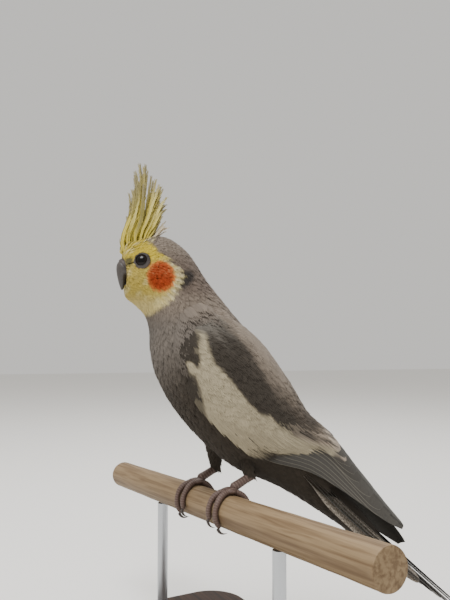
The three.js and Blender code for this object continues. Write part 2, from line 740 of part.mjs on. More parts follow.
function baseSolid() {
  const [length, width] = [BASE_LENGTH / 2, BASE_WIDTH / 2];
  const outline = new THREE.Shape();
  outline.moveTo(-length + BASE_CORNER, -width);
  outline.lineTo(length - BASE_CORNER, -width);
  outline.absarc(length - BASE_CORNER, -width + BASE_CORNER, BASE_CORNER, -Math.PI / 2, 0);
  outline.lineTo(length, width - BASE_CORNER);
  outline.absarc(length - BASE_CORNER, width - BASE_CORNER, BASE_CORNER, 0, Math.PI / 2);
  outline.lineTo(-length + BASE_CORNER, width);
  outline.absarc(-length + BASE_CORNER, width - BASE_CORNER, BASE_CORNER, Math.PI / 2, Math.PI);
  outline.lineTo(-length, -width + BASE_CORNER);
  outline.absarc(-length + BASE_CORNER, -width + BASE_CORNER, BASE_CORNER, Math.PI, Math.PI * 1.5);
  const plate = new THREE.ExtrudeGeometry(outline, {
    depth: BASE_THICKNESS,
    bevelEnabled: false,
    curveSegments: CORNER_STEPS,
  });
  plate.rotateZ(Math.atan2(PERCH_DIRECTION.y, PERCH_DIRECTION.x));
  return toSolid(plate);
}

function rodSolid(distance) {
  const place = onPerch(distance, 0, 0);
  const top = place.z + PERCH_HEIGHT;
  const rod = new THREE.CylinderGeometry(ROD_RADIUS, ROD_RADIUS, top - BASE_THICKNESS - GAP, ROD_SIDES);
  rod.rotateX(Math.PI / 2);
  rod.translate(place.x, place.y, (top + BASE_THICKNESS + GAP) / 2);
  return toSolid(rod).subtract(perchSolid(GAP).translate([0, 0, PERCH_HEIGHT]));
}

const feather = finish(0x7c726b, 0.8);
const face = finish(0xcdc25a, 0.8);
const darkFeather = finish(0x4d4742, 0.75);
const horn = finish(0x6b6361, 0.45);
const eyeGloss = finish(0x17110e, 0.12);
const scaly = finish(0x8a716a, 0.6);
const wood = finish(0xb8946a, 0.65);
const standWood = finish(0x3b2a20, 0.5);
const steel = finish(0xb9bcc0, 0.3, 1);

let head = frontOf(wholeBody, headCut).add(crestSolid());
for (const side of [-1, 1]) {
  head = head.add(lidRing(side)).subtract(eyeBall(side, GAP));
  addNode(bird, side < 0 ? 'eye_left' : 'eye_right', eyeBall(side), eyeGloss);
}
addNode(bird, 'head', head, face);
addNode(bird, 'neck', frontOf(behind(wholeBody, headCut), neckCut), feather);
addNode(bird, 'torso', frontOf(behind(wholeBody, neckCut), tailCut), feather);
addNode(bird, 'tail', tailSolid(), darkFeather);

const nostrils = nostril(-1).add(nostril(1));
const grown = (row) => ({ ...row, high: row.high + GAP, wide: row.wide + GAP });
const upperClearance = billLoft(BILL_UPPER.map(grown));
addNode(bird, 'beak_upper', billLoft(BILL_UPPER).subtract(bodyClearance).subtract(nostrils), horn);
addNode(bird, 'beak_lower', billLoft(BILL_LOWER).subtract(bodyClearance).subtract(upperClearance), horn);

for (const [name, side] of [['left', -1], ['right', 1]]) {
  addNode(bird, `wing_${name}`, wingSolid(side), darkFeather);
  addNode(bird, `leg_${name}`, legSolid(side), feather);
  addNode(bird, `foot_${name}`, footSolid(side), scaly);
}

addNode(bird, 'perch', perchSolid(), wood);
addNode(cockatiel, 'stand_base', baseSolid(), standWood);
addNode(cockatiel, 'stand_rod_front', rodSolid(ROD_SPREAD), steel);
addNode(cockatiel, 'stand_rod_back', rodSolid(-ROD_SPREAD), steel);

export default cockatiel;
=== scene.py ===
# %% [markdown]
# # A cockatiel on its perch
# This notebook dresses a life-size model of a cockatiel that grips a short wooden perch on a plain stand.
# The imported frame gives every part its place, and the cells below give it skin, feathers, bill, eyes,
# feet, wood and steel. Everything is in metres, the bird looks along -X, and its left side is on -Y.

# %% Load the frame
import math

import bmesh
import bpy
import numpy as np
from mathutils import Matrix, Vector


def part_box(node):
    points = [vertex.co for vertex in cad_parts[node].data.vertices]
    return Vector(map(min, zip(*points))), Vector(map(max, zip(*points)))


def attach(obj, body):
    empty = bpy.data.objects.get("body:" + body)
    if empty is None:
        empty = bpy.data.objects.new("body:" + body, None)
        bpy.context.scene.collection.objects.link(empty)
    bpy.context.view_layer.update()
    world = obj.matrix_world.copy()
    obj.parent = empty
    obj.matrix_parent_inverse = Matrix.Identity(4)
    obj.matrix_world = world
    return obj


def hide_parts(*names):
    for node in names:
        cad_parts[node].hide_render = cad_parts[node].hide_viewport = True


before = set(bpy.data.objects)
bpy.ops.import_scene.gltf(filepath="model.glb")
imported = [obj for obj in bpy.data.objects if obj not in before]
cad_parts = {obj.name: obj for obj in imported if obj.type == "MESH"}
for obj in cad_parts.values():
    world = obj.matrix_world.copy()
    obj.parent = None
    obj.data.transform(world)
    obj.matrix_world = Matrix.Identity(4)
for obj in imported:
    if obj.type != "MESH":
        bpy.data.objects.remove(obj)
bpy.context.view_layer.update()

MM = 0.001

# %% [markdown]
# ## Small helpers
# Colours are written as the hex values that a screen shows, and one function turns them to the linear
# light that Blender's sockets take. A second one adds a shader node with its settings and links in a
# single call, which keeps each material short enough to read as a recipe. Two recipes that most of the
# finishes end with, the painted tint and the link of colour and relief, are written once.

# %% Colours and nodes
def linear(code):
    """Linear light of a colour written as on screen, such as #804020."""
    screen = np.array([int(code[i:i + 2], 16) for i in (1, 3, 5)]) / 255
    return np.where(screen <= 0.04045, screen / 12.92, ((screen + 0.055) / 1.055) ** 2.4)


def rgba(code):
    return (*linear(code), 1.0)


def in_use(sockets, name=None):
    """The first socket that the node's settings leave in use, or the first of that name."""
    return next(socket for socket in sockets if socket.enabled and name in (None, socket.name))


def add(tree, kind, inputs=None, **settings):
    """Adds a node. An input is a value, a socket, or a node that stands for its first output."""
    node = tree.nodes.new("ShaderNode" + kind)
    for name, value in settings.items():
        setattr(node, name, value)
    for name, value in (inputs or {}).items():
        socket = node.inputs[name] if isinstance(name, int) else in_use(node.inputs, name)
        if isinstance(value, bpy.types.Node):
            value = in_use(value.outputs)
        if isinstance(value, bpy.types.NodeSocket):
            tree.links.new(value, socket)
        else:
            socket.default_value = value
    return node


def new_material(name, **constants):
    material = bpy.data.materials.new(name)
    material.use_nodes = True
    tree = material.node_tree
    surface = tree.nodes["Principled BSDF"]
    for socket, value in constants.items():
        surface.inputs[socket.replace("_", " ")].default_value = value
    return material, tree, surface


def tinted(tree, tone):
    """The tint painted on the mesh, multiplied by a tone."""
    tint = add(tree, "Attribute", attribute_name="tint")
    return add(tree, "VectorMath", {0: tint, 1: tone}, operation="MULTIPLY")


def dress(tree, surface, colour, relief=None, strength=0.0, depth=0.0):
    """Links a colour to a surface, and a relief as its bump, so many mm deep."""
    tree.links.new(in_use(colour.outputs), surface.inputs["Base Color"])
    if relief is not None:
        bump = add(tree, "Bump", {"Height": relief, "Strength": strength, "Distance": depth * MM})
        tree.links.new(bump.outputs["Normal"], surface.inputs["Normal"])


print("white is", linear("#ffffff"), "and mid grey is", linear("#808080").round(3))

# %% [markdown]
# ## One way to shape everything
# Most pieces here are sheets rolled or bent into shape: skin, bill, toes, vanes. A flat grid from
# `bmesh.ops.create_grid` can take any such form, because each of its points knows how far across and
# along the sheet it lies. Where a rolled grid meets itself, the doubled points are merged, so that the
# surface is closed, and the faces are then turned outwards.

# %% Grids and pieces
WELD = 1e-7


def mapped_grid(across, along, place, sheet=None):
    """A grid put in place. A sheet size (width, length) in mm also gives it the UV map roll."""
    shape = bmesh.new()
    bmesh.ops.create_grid(shape, x_segments=across, y_segments=along, size=0.5)
    if sheet:
        roll = shape.loops.layers.uv.new("roll")
        for face in shape.faces:
            for loop in face.loops:
                loop[roll].uv = [(loop.vert.co[k] + 0.5) * sheet[k] for k in (0, 1)]
    flat = np.array([v.co[:2] for v in shape.verts]) + 0.5
    for vertex, point in zip(shape.verts, place(flat[:, 0], flat[:, 1])):
        vertex.co = point
    bmesh.ops.remove_doubles(shape, verts=shape.verts, dist=WELD)
    bmesh.ops.recalc_face_normals(shape, faces=shape.faces)
    return shape


def show(mesh, name, material, nodes, smooth=True):
    mesh.materials.append(material)
    mesh.polygons.foreach_set("use_smooth", np.full(len(mesh.polygons), smooth))
    piece = bpy.data.objects.new(name, mesh)
    bpy.context.scene.collection.objects.link(piece)
    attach(piece, "root")
    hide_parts(*nodes)
    triangles = sum(len(p.vertices) - 2 for p in mesh.polygons)
    print(f"{name}: {triangles} triangles")
    return piece


def show_shapes(shapes, name, material, nodes, crease=None):
    """Joins bmesh shapes to one piece. Edges sharper than crease degrees are shaded sharp."""
    joined = bmesh.new()
    for shape in shapes:
        part = bpy.data.meshes.new(name)
        shape.to_mesh(part)
        joined.from_mesh(part)
        shape.free()
        bpy.data.meshes.remove(part)
    mesh = bpy.data.meshes.new(name)
    joined.to_mesh(mesh)
    joined.free()
    if crease:
        mesh.set_sharp_from_angle(angle=math.radians(crease))
    return show(mesh, name, material, nodes)


trial = mapped_grid(2, 2, lambda u, v: np.stack([u, v, 0 * u], -1))
print("a grid of 2 by 2 has", len(trial.faces), "faces")
trial.free()

# %% Templates, turned shapes and smooth rows
def template(around, along, place):
    """Points and triangles of a rolled grid, to be copied many times."""
    shape = mapped_grid(around, along, place)
    bmesh.ops.triangulate(shape, faces=shape.faces)
    points = np.array([v.co[:] for v in shape.verts])
    triangles = np.array([[v.index for v in f.verts] for f in shape.faces])
    shape.free()
    return points, triangles


def spin_round(shape, steps):
    """Spins all that a shape holds once round the upright, and closes it."""
    bmesh.ops.spin(shape, geom=shape.verts[:] + shape.edges[:], axis=(0, 0, 1), angle=2 * math.pi,
                   steps=steps, use_merge=True)
    bmesh.ops.remove_doubles(shape, verts=shape.verts, dist=WELD)
    bmesh.ops.recalc_face_normals(shape, faces=shape.faces)


def spun_outline(outline, steps, closed=False):
    """A shape turned from an outline of (radius, height) in metres."""
    shape = bmesh.new()
    corners = [shape.verts.new((radius, 0, height)) for radius, height in outline]
    for pair in zip(corners, corners[1:] + corners[:1] * closed):
        shape.edges.new(pair)
    spin_round(shape, steps)
    return shape


def circle(u):
    """Cosine and sine of the share u of a full turn."""
    return np.cos(2 * math.pi * u), np.sin(2 * math.pi * u)


def rounded(beyond):
    """Width of a round end: 1 where it begins, at 0, and nothing at its tip, at 1."""
    return np.sqrt(1 - np.clip(beyond, 0, 1) ** 2)


def smooth_step(low, high, value):
    t = np.clip((value - low) / (high - low), 0, 1)
    return t * t * (3 - 2 * t)


def unit(vectors):
    return vectors / np.linalg.norm(vectors, axis=-1, keepdims=True)


def smooth_row(table, s):
    """The table's row at the row number s, on a Catmull-Rom curve through its rows."""
    last = len(table) - 1
    low = np.clip(np.floor(s).astype(int), 0, last - 1)
    t = (s - low)[..., None]
    a, b, c, d = (table[np.clip(low + k, 0, last)] for k in (-1, 0, 1, 2))
    bend = (2 * a - 5 * b + 4 * c - d) * t ** 2 + (3 * b - a - 3 * c + d) * t ** 3
    return 0.5 * (2 * b + (c - a) * t + bend)


print("halfway along its end a round end is still", rounded(0.5).round(2), "of its width")

# %% [markdown]
# ## The camera
# The photo looks at the bird's left side from a little in front, and slightly upwards. The camera
# stands 336 mm from the perch under the bird, and its lens is long enough to leave that side calm.

# %% Camera
PERCH_HEIGHT = sum(corner.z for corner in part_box("perch")) / 2
CAMERA_AZIMUTH = math.radians(-14)
CAMERA_PITCH = math.radians(3.4)
CAMERA_DISTANCE = 336 * MM
CAMERA_SIDE = -6.8 * MM
CAMERA_UP = 84.7 * MM
IMAGE_LONG_SIDE = 600
FOCAL_PIXELS = 650
SENSOR = 36

forward = Vector((-math.sin(CAMERA_AZIMUTH), math.cos(CAMERA_AZIMUTH), 0))
rightward = Vector((math.cos(CAMERA_AZIMUTH), math.sin(CAMERA_AZIMUTH), 0))
eye_point = Vector((0, 0, PERCH_HEIGHT + CAMERA_UP))
eye_point -= rightward * CAMERA_SIDE + forward * CAMERA_DISTANCE

camera = bpy.data.objects.new("camera", bpy.data.cameras.new("camera"))
camera.data.sensor_width = SENSOR
camera.data.lens = FOCAL_PIXELS / IMAGE_LONG_SIDE * SENSOR
camera.data.clip_start = 10 * MM
camera.location = eye_point
camera.rotation_euler = (math.pi / 2 + CAMERA_PITCH, 0, CAMERA_AZIMUTH)
bpy.context.scene.collection.objects.link(camera)
bpy.context.scene.camera = camera
print("camera at", [round(x / MM, 1) for x in eye_point], "mm, lens", round(camera.data.lens, 1))

# %% [markdown]
# ## A chart of the body
# Every feather has to know where it grows and which way the body runs there. So the body is described
# once, as a chart: a row number from the bill to the tail, and an angle round it, 0 on the back and a
# quarter turn on the left side. The rows are the frame's own sections, in millimetres. A feather that
# is drawn on the chart can't leave the body, whatever way it curves.

# %% The body's chart
BODY_ROWS = np.array([
    # back x, back z, belly x, belly z, half width
    [-45.3, 124.3, -42, 112.6, 4.4],
    [-43.9, 129.8, -40.7, 107.6, 10.8],
    [-37, 134.3, -38.2, 103, 14.6],
    [-25.5, 136.6, -34, 96.5, 16.3],
    [-13.5, 129.2, -32.3, 88.5, 17.6],
    [-3, 114.2, -31.8, 78.5, 20],
    [9.5, 98.8, -28.6, 65.5, 23.3],
    [24, 81.5, -19.5, 49.2, 24.6],
    [36, 62.5, -5.5, 33, 23],
    [46.5, 43.5, 12, 18.5, 18.5],
    [56, 27, 33, 9, 13],
    [69.5, 9.5, 53, -3, 11],
    [85, -8.5, 74.5, -17.5, 10.5],
    [97, -23, 92, -28, 7.5],
])
LAST_ROW = len(BODY_ROWS) - 1


def section_point(table, s, angle, grow):
    """Points in mm from the perch's axis: grow is how far they stand off the section."""
    back_x, back_z, belly_x, belly_z, half = np.moveaxis(smooth_row(table, s), -1, 0)
    rise_x, rise_z = (back_x - belly_x) / 2, (back_z - belly_z) / 2
    scale = (1 + grow / np.hypot(rise_x, rise_z)) * np.cos(angle)
    x = (back_x + belly_x) / 2 + rise_x * scale
    z = (back_z + belly_z) / 2 + rise_z * scale
    return np.stack([x, -(half + grow) * np.sin(angle), z], -1)


def placed(points):
    """From mm round the perch's axis to metres above the floor."""
    return points * MM + np.array([0, 0, PERCH_HEIGHT])


def body_point(s, angle, grow):
    return placed(section_point(BODY_ROWS, s, angle, grow))


# The face's plumage stands forward at the chin and covers the lower bill: its own first rows.
FACE_ROWS = np.vstack([[
    [-46.4, 125.2, -44.5, 110.2, 5],
    [-45, 130.4, -44.3, 105.2, 10.9],
    [-37, 134.3, -39.6, 101.2, 14.6],
    [-25.5, 136.6, -34.6, 96, 16.3],
], BODY_ROWS[4:]])


# Beside the bill the face is hollow, so that the bill's side shows: height, depth and, from the
# hollow's middle, where it is still whole and where it ends.
HOLLOW_HEIGHT = 117
HOLLOW_DEPTH = 2.3
HOLLOW_REACH = (3, 9)


def face_point(s, angle, grow):
    points = section_point(FACE_ROWS, s, angle, grow)
    x, y, z = np.moveaxis(points, -1, 0)
    near = smooth_step(*HOLLOW_REACH[::-1], np.hypot(z - HOLLOW_HEIGHT, 0.8 * y))
    points[..., 0] += HOLLOW_DEPTH * near * smooth_step(-38, -43, x)
    return placed(points)


def path_length(points):
    """Length in mm of a line through points in metres."""
    return np.linalg.norm(np.diff(points, axis=0), axis=1).sum() / MM


back = path_length(body_point(np.linspace(0, LAST_ROW, 99), 0, 0))
print(f"the back is {back:.0f} mm long from the bill to the end of the tail coverts")

# %% [markdown]
# ## Markings
# A cockatiel cock has a yellow face with an orange cheek on each side, edged with white behind, and a grey
# body. Some of the colour here is painted light and shade: a painted shadow behind the cheek, painted shade
# between the bill and the eye, a grey that darkens underneath and towards the tail as painted shade, and a
# back that is lighter, partly painted light. The same function colours skin and feathers, so a gap between
# two feathers never shows a wrong colour. It works on places in millimetres, with soft steps where feathers
# of two colours mingle. An image could do this too, but it would need unwrapping.

# %% Markings of head and body
GREY = linear("#645d56")
# Lighter and browner on the upper back: partly the plumage's own tone, partly painted light from above.
GREY_BACK = linear("#73685d")
GREY_NECK = linear("#74695e")
GREY_NAPE = linear("#63574e")
# Painted shade: with the next colour the grey darkens underneath and towards the tail.
UNDERSIDE_PAINTED_SHADE = linear("#39332c")
TAIL_PAINTED_SHADE = linear("#342e27")
YELLOW = linear("#b09c4c")
YELLOW_PALE = linear("#c9bd86")
YELLOW_FOREHEAD = linear("#b49f34")
YELLOW_CHIN = linear("#c2b27c")
CREAM = linear("#c0b694")
ORANGE = linear("#903714")
ORANGE_EDGE = linear("#b5642f")
ORANGE_PALE = linear("#c98c5c")
# Painted shadow behind the cheek, where the feathers part.
EAR_PAINTED_SHADOW = linear("#2c2826")
FACE_CENTRE = (-38, 115)
# How far the yellow reaches from the face's centre, by the direction in degrees, 0 backwards.
FACE_REACH = np.array([
    [-110, 21], [-75, 19.4], [-57, 18.2], [-33, 18.4], [-14, 18.8], [1, 19.8], [12, 18.6],
    [28, 15.6], [56, 14.4], [77, 18.2], [110, 24],
])
CHEEK_CENTRE = (-28.7, 114.7)
CHEEK_RADII = (6.6, 7.7)
# The painted shadow behind the cheek runs upwards and back, so it is measured along 40 degrees and across.
EAR_CENTRE = (-17.4, 113.3)
EAR_LENGTH = 7
EAR_WIDTH = 3.8
# Paler barbs lie across the top of the cheek, about this far apart in mm.
CHEEK_STREAK = 1.3
# The white edge behind the cheek is parted into so many streaks in a radian.
EDGE_STREAKS = 38
# Painted shade between the bill and the eye, darker round the front of the eye.
LORE_CENTRE = (-43.6, 122.4)
LORE_RADIUS = 3.2
LORE_PAINTED_SHADE = linear("#4d4a32")


def mix(first, second, share):
    share = np.asarray(share)[..., None]
    return first * (1 - share) + second * share


def body_colour(points):
    """Linear colours of the plumage at points in metres."""
    x, y, z = np.moveaxis((points - np.array([0, 0, PERCH_HEIGHT])) / MM, -1, 0)
    along = x * 0.58 - z * 0.81
    # The back is lighter, partly painted light from above.
    colour = mix(GREY, GREY_BACK, smooth_step(-5, 25, x * 0.8 + z * 0.55 - 62))
    colour = mix(colour, GREY_NECK, smooth_step(88, 102, z))
    colour = mix(colour, GREY_NAPE, smooth_step(102, 110, z) * smooth_step(130, 120, z))
    # Painted shade, darker underneath and towards the tail.
    colour = mix(colour, UNDERSIDE_PAINTED_SHADE, smooth_step(-85, -50, along))
    colour = mix(colour, TAIL_PAINTED_SHADE, smooth_step(0, 50, along))
    dx, dz = x - FACE_CENTRE[0], z - FACE_CENTRE[1]
    direction = np.degrees(np.arctan2(dz, dx))
    past = np.hypot(dx, dz) - np.interp(direction, FACE_REACH[:, 0], FACE_REACH[:, 1])
    past = np.where(np.abs(direction) > 110, -5, past)
    face = mix(YELLOW, YELLOW_FOREHEAD, smooth_step(118, 126, z))
    face = mix(face, YELLOW_CHIN, 0.8 * smooth_step(108, 100, z))
    cloud = np.sin(0.55 * x + 0.3 * z) * np.sin(0.5 * z - 0.2 * x + 1) + 0.5 * np.sin(1.1 * x - 0.7 * z)
    face = mix(face, YELLOW_PALE, 0.45 * smooth_step(0.2, 1.1, cloud) * smooth_step(124, 118, z))
    edging = smooth_step(-5, -1.6, past) * smooth_step(62, 20, np.abs(direction + 8))
    parted = 0.65 + 0.35 * np.sin(np.radians(direction) * EDGE_STREAKS)
    face = mix(face, CREAM, edging * parted)
    # Painted shade in the lores.
    lore = np.hypot(x - LORE_CENTRE[0], z - LORE_CENTRE[1]) / LORE_RADIUS
    face = mix(face, LORE_PAINTED_SHADE, 0.9 * smooth_step(1, 0.35, lore))
    right, up = x - EAR_CENTRE[0], z - EAR_CENTRE[1]
    ear = np.hypot((right * 0.77 + up * 0.64) / EAR_LENGTH, (up * 0.77 - right * 0.64) / EAR_WIDTH)
    # Painted shadow behind the cheek.
    colour = mix(colour, EAR_PAINTED_SHADOW, 0.95 * smooth_step(1.2, 0.65, ear))
    ragged = past + 1.1 * np.sin(1.9 * z + 0.7 * x) * smooth_step(70, 20, np.abs(direction))
    colour = mix(face, colour, smooth_step(-0.9, 1.3, ragged))
    cheek = np.hypot((x - CHEEK_CENTRE[0]) / CHEEK_RADII[0], (z - CHEEK_CENTRE[1]) / CHEEK_RADII[1])
    on_side = smooth_step(6, 9, np.abs(y))
    colour = mix(colour, ORANGE_EDGE, on_side * smooth_step(1.1, 0.94, cheek))
    colour = mix(colour, ORANGE, on_side * smooth_step(0.98, 0.72, cheek))
    across = z + 0.25 * x
    streak = smooth_step(0.5, 1, np.sin(2 * math.pi * across / CHEEK_STREAK + np.sin(0.9 * x)))
    upper = smooth_step(-2, 4, z - CHEEK_CENTRE[1]) * smooth_step(1, 0.8, cheek)
    return mix(colour, ORANGE_PALE, 0.6 * on_side * streak * upper)


print("cheek colour:", body_colour(placed(np.array([[-28.7, -16.5, 114.7]]))).round(2))

# %% [markdown]
# ## Skin
# Under its feathers a bird is a smooth bag of skin over muscle. The skin here is one closed sheet, the
# chart's own shape drawn in by the depth of the coat, so that the feathers' tips and not the skin give
# the outline. A sphere pulled over the chart would bunch its faces at the ends; a rolled grid keeps
# them even. Its colour comes from the markings, a little darker, as light hardly reaches it.

# %% Skin material
# Streaks are so many times as long as they are wide.
STREAK_LENGTH = 12.5


def plumage_material(name, streaks_per_mm):
    """Soft keratin barbs: matt, with fine streaks along each feather and no clear highlight."""
    material, tree, surface = new_material(name, Roughness=0.9, Sheen_Weight=0.06, Specular_IOR_Level=0.15)
    place = add(tree, "UVMap", uv_map="vane")
    scale = (streaks_per_mm, streaks_per_mm / STREAK_LENGTH, 1)
    stretch = add(tree, "Mapping", {"Vector": place, "Scale": scale})
    barbs = add(tree, "TexNoise", {"Vector": stretch, "Scale": 1, "Detail": 2})
    tone = add(tree, "MapRange", {"Value": barbs, "From Min": 0.3, "From Max": 0.7, "To Min": 0.82,
                                  "To Max": 1.14})
    dress(tree, surface, tinted(tree, tone), barbs, 0.25, 0.1)
    return material


def skin_material():
    """Thin matt skin with down over it: the markings, mottled by a grain of about half a millimetre."""
    material, tree, surface = new_material("skin_with_down", Roughness=0.9, Specular_IOR_Level=0.15)
    place = add(tree, "TexCoord")
    down = add(tree, "TexNoise", {"Vector": place.outputs["Object"], "Scale": 2000, "Detail": 2})
    # Painted shade: the markings are darkened to between 0.35 and 0.75 of their tone, as light hardly
    # reaches the skin, and mottled by the grain.
    tone = add(tree, "MapRange", {"Value": down, "To Min": 0.35, "To Max": 0.75})
    dress(tree, surface, tinted(tree, tone))
    return material


PLUMAGE = plumage_material("contour_feathers", 3.5)
DOWN_SKIN = skin_material()
print("made", PLUMAGE.name, "and", DOWN_SKIN.name)

# %% Skin shape
COAT_DEPTH = 1.3
SKIN_AROUND = 96
SKIN_ALONG = 150
SKIN_CAP = 0.02
SKIN_BULGE = 1.5


def skin_place(u, v):
    s = np.clip((v - SKIN_CAP) / (1 - 2 * SKIN_CAP), 0, 1) * LAST_ROW
    beyond = np.clip(np.maximum(SKIN_CAP - v, v - 1 + SKIN_CAP) / SKIN_CAP, 0, 1)
    ring = body_point(s, u * 2 * math.pi, -COAT_DEPTH)
    middle = (body_point(s, 0 * u, -COAT_DEPTH) + body_point(s, 0 * u + math.pi, -COAT_DEPTH)) / 2
    points = middle + (ring - middle) * rounded(beyond)[:, None]
    points[:, 0] += np.where(v < 0.5, -1, 1) * SKIN_BULGE * MM * beyond
    return points


def paint(mesh, colours):
    """Writes the tint attribute, one linear colour for each vertex."""
    tint = mesh.color_attributes.new("tint", "FLOAT_COLOR", "POINT")
    tint.data.foreach_set("color", np.c_[colours, np.ones(len(colours))].astype(np.float32).ravel())


def vertex_places(mesh):
    places = np.zeros(len(mesh.vertices) * 3, np.float32)
    mesh.vertices.foreach_get("co", places)
    return places.reshape(-1, 3).astype(float)


print("the skin has", SKIN_AROUND * SKIN_ALONG, "faces and lies", COAT_DEPTH, "mm under the outline")

# %% [markdown]
# ## Legs
# A cockatiel's thigh and shin are hidden in feathers down to the heel, the joint that looks like a knee
# bent backwards. Each leg is a short tapered roll of skin from the heel up into the belly, and it has a
# chart of its own for its feathers. The feet grip the perch 18 mm to each side of the body's middle.

# %% Perch directions and leg lines
PERCH_DIRECTION = unit(np.array([0.2555, -0.9665, 0.0577]))
PERCH_RADIUS = 8
FOOT_SPREAD = 18
perch_front = unit(np.cross(PERCH_DIRECTION, [0, 0, 1]))
perch_front = perch_front * (-1 if perch_front[0] > 0 else 1)
perch_up = unit(np.cross(perch_front, PERCH_DIRECTION))
perch_up = perch_up * (-1 if perch_up[2] < 0 else 1)
SIDES = {"left": -1, "right": 1}
HEEL_BACK = 12.5
HEEL_UP = 7.5
LEG_RADII = (2.2, 3.6, 5, 6.3)


def on_perch(distance, ahead, up):
    """Point in mm at a distance along the perch, so far in front of its axis and above it."""
    return (np.multiply.outer(distance, PERCH_DIRECTION) + np.multiply.outer(ahead, perch_front)
            + np.multiply.outer(up, perch_up))


def heel_of(side):
    return on_perch(-side * FOOT_SPREAD, -HEEL_BACK, PERCH_RADIUS + HEEL_UP)


def hip_of(side):
    return heel_of(side) + np.array([-3, -side * 8, 22])


def leg_point(side, along, angle, grow):
    heel, hip = heel_of(side), hip_of(side)
    way = unit(hip - heel)
    across = unit(np.cross(way, PERCH_DIRECTION))
    outward = unit(np.cross(across, way))
    radius = np.interp(along, np.linspace(0, 1, len(LEG_RADII)), LEG_RADII) + grow
    line = heel + np.multiply.outer(along, hip - heel)
    ring = (np.cos(angle) * radius)[..., None] * across + (np.sin(angle) * radius)[..., None] * outward
    return placed(line + ring)


# The skin's heel is rounded over this share of the leg, and draws in by so many mm there.
HEEL_END = 0.1
HEEL_ROUND = 1.2


def leg_skin(side):
    """The leg's skin, rounded at the heel and let into the belly at its other end."""
    def place(u, v):
        thinner = COAT_DEPTH * 0.6 + (1 - rounded((HEEL_END - v) / HEEL_END)) * HEEL_ROUND
        return leg_point(side, v, u * 2 * math.pi, -thinner)
    shape = mapped_grid(20, 12, place)
    bmesh.ops.holes_fill(shape, edges=shape.edges)
    return shape


shapes = [mapped_grid(SKIN_AROUND, SKIN_ALONG, skin_place)] + [leg_skin(side) for side in SIDES.values()]
skin = show_shapes(shapes, "skin", DOWN_SKIN,
                   ["head", "neck", "torso", "leg_left", "leg_right"])
paint(skin.data, body_colour(vertex_places(skin.data)))

# %% [markdown]
# ## How a feather is made
# A contour feather is a blade of barbs that cling together near the shaft and part at the tip. One thin,
# closed lock of four sides stands for a bundle of barbs, and a few locks that fan out from one root make
# a feather with a soft, ragged tip. Particle hair would be easier to grow but doesn't survive an export,
# so one lock is shaped with bmesh and its points are then copied to thousands of places as one array.

# %% The lock and the feather
LOCK_STATIONS = (0, 0.34, 0.66, 0.9, 1)


def lock_shape(around, stations):
    """Points (across, along, up) and triangles of a closed blade, all in shares of its size."""
    def place(u, v):
        t = np.interp(v, np.linspace(0, 1, len(stations)), stations)
        width = np.minimum(1, 0.45 + 2 * t) * (1 - 0.75 * smooth_step(0.55, 1, t))
        width = np.where((t < 0.001) | (t > 0.999), 0, width)
        cos, sin = circle(u)
        return np.stack([cos * width, t, sin * width], -1)
    return template(around, len(stations) - 1, place)


def feather_shape(fingers, share, around=4, stations=LOCK_STATIONS):
    """A feather of several locks, as (across, along, up, tip share) points and triangles."""
    lock, triangles = lock_shape(around, stations)
    points, faces = [], []
    for k in range(fingers):
        place = 2 * k / (fingers - 1) - 1 if fingers > 1 else 0
        reach = 1 - 0.22 * place ** 2 - 0.07 * (k % 2)
        across = place * (1 - share) * np.minimum(1, 0.3 + 1.3 * lock[:, 1]) + lock[:, 0] * share
        points.append(np.stack([across, lock[:, 1] * reach, lock[:, 2]], -1))
        faces.append(triangles + k * len(lock))
    return np.concatenate(points), np.concatenate(faces)


FINE_FEATHER = feather_shape(3, 0.42)
BODY_FEATHER = feather_shape(5, 0.3)
print("a body feather has", len(BODY_FEATHER[1]), "triangles")

# %% [markdown]
# ## Where feathers grow
# Real feathers keep their distance from each other like seeds sown by a careful hand: never in rows,
# never on top of one another. Throwing darts and keeping only those that land far enough from the rest
# gives just that. The darts fall on the chart, weighted by the area that each part of it covers.

# %% Sowing roots
def steepness(surface, p, q):
    """A surface's two chart directions at (p, q), in metres for each unit of the chart."""
    step = 1e-3
    origin = surface(p, q, 0)
    return (surface(p + step, q, 0) - origin) / step, (surface(p, q + step, 0) - origin) / step


# Darts thrown to measure the area, and darts for each feather that could find room.
TRIAL_DARTS = 40000
DARTS_EACH = 5


def sow(surface, p_range, q_range, pitch, keep, seed):
    """Chart places about pitch mm apart, where keep(p, q, point) is true."""
    draw = np.random.default_rng(seed)
    p, q = (draw.uniform(*span, TRIAL_DARTS) for span in (p_range, q_range))
    area = np.linalg.norm(np.cross(*steepness(surface, p, q)), axis=-1)
    total = area.mean() * (p_range[1] - p_range[0]) * (q_range[1] - q_range[0])
    wanted = int(DARTS_EACH * total / (pitch * MM) ** 2)
    p, q = (draw.uniform(*span, 8 * wanted) for span in (p_range, q_range))
    area = np.linalg.norm(np.cross(*steepness(surface, p, q)), axis=-1)
    chosen = np.flatnonzero(draw.uniform(0, area.max(), len(p)) < area)[:wanted]
    p, q = p[chosen], q[chosen]
    points = surface(p, q, 0)
    allowed = keep(p, q, points)
    p, q, points = p[allowed], q[allowed], points[allowed] / MM
    cells, taken = {}, []
    for k, place in enumerate(points):
        home = tuple(np.floor(place / pitch).astype(int))
        near = (j for dx in (-1, 0, 1) for dy in (-1, 0, 1) for dz in (-1, 0, 1)
                for j in cells.get((home[0] + dx, home[1] + dy, home[2] + dz), ()))
        if all(np.dot(place - points[j], place - points[j]) > pitch ** 2 for j in near):
            cells.setdefault(home, []).append(k)
            taken.append(k)
    return p[taken], q[taken]


sown, _ = sow(body_point, (6, 7), (0, 1), 2, lambda p, q, points: p > 0, 1)
print("a patch of the back takes", len(sown), "feathers 2 mm apart")

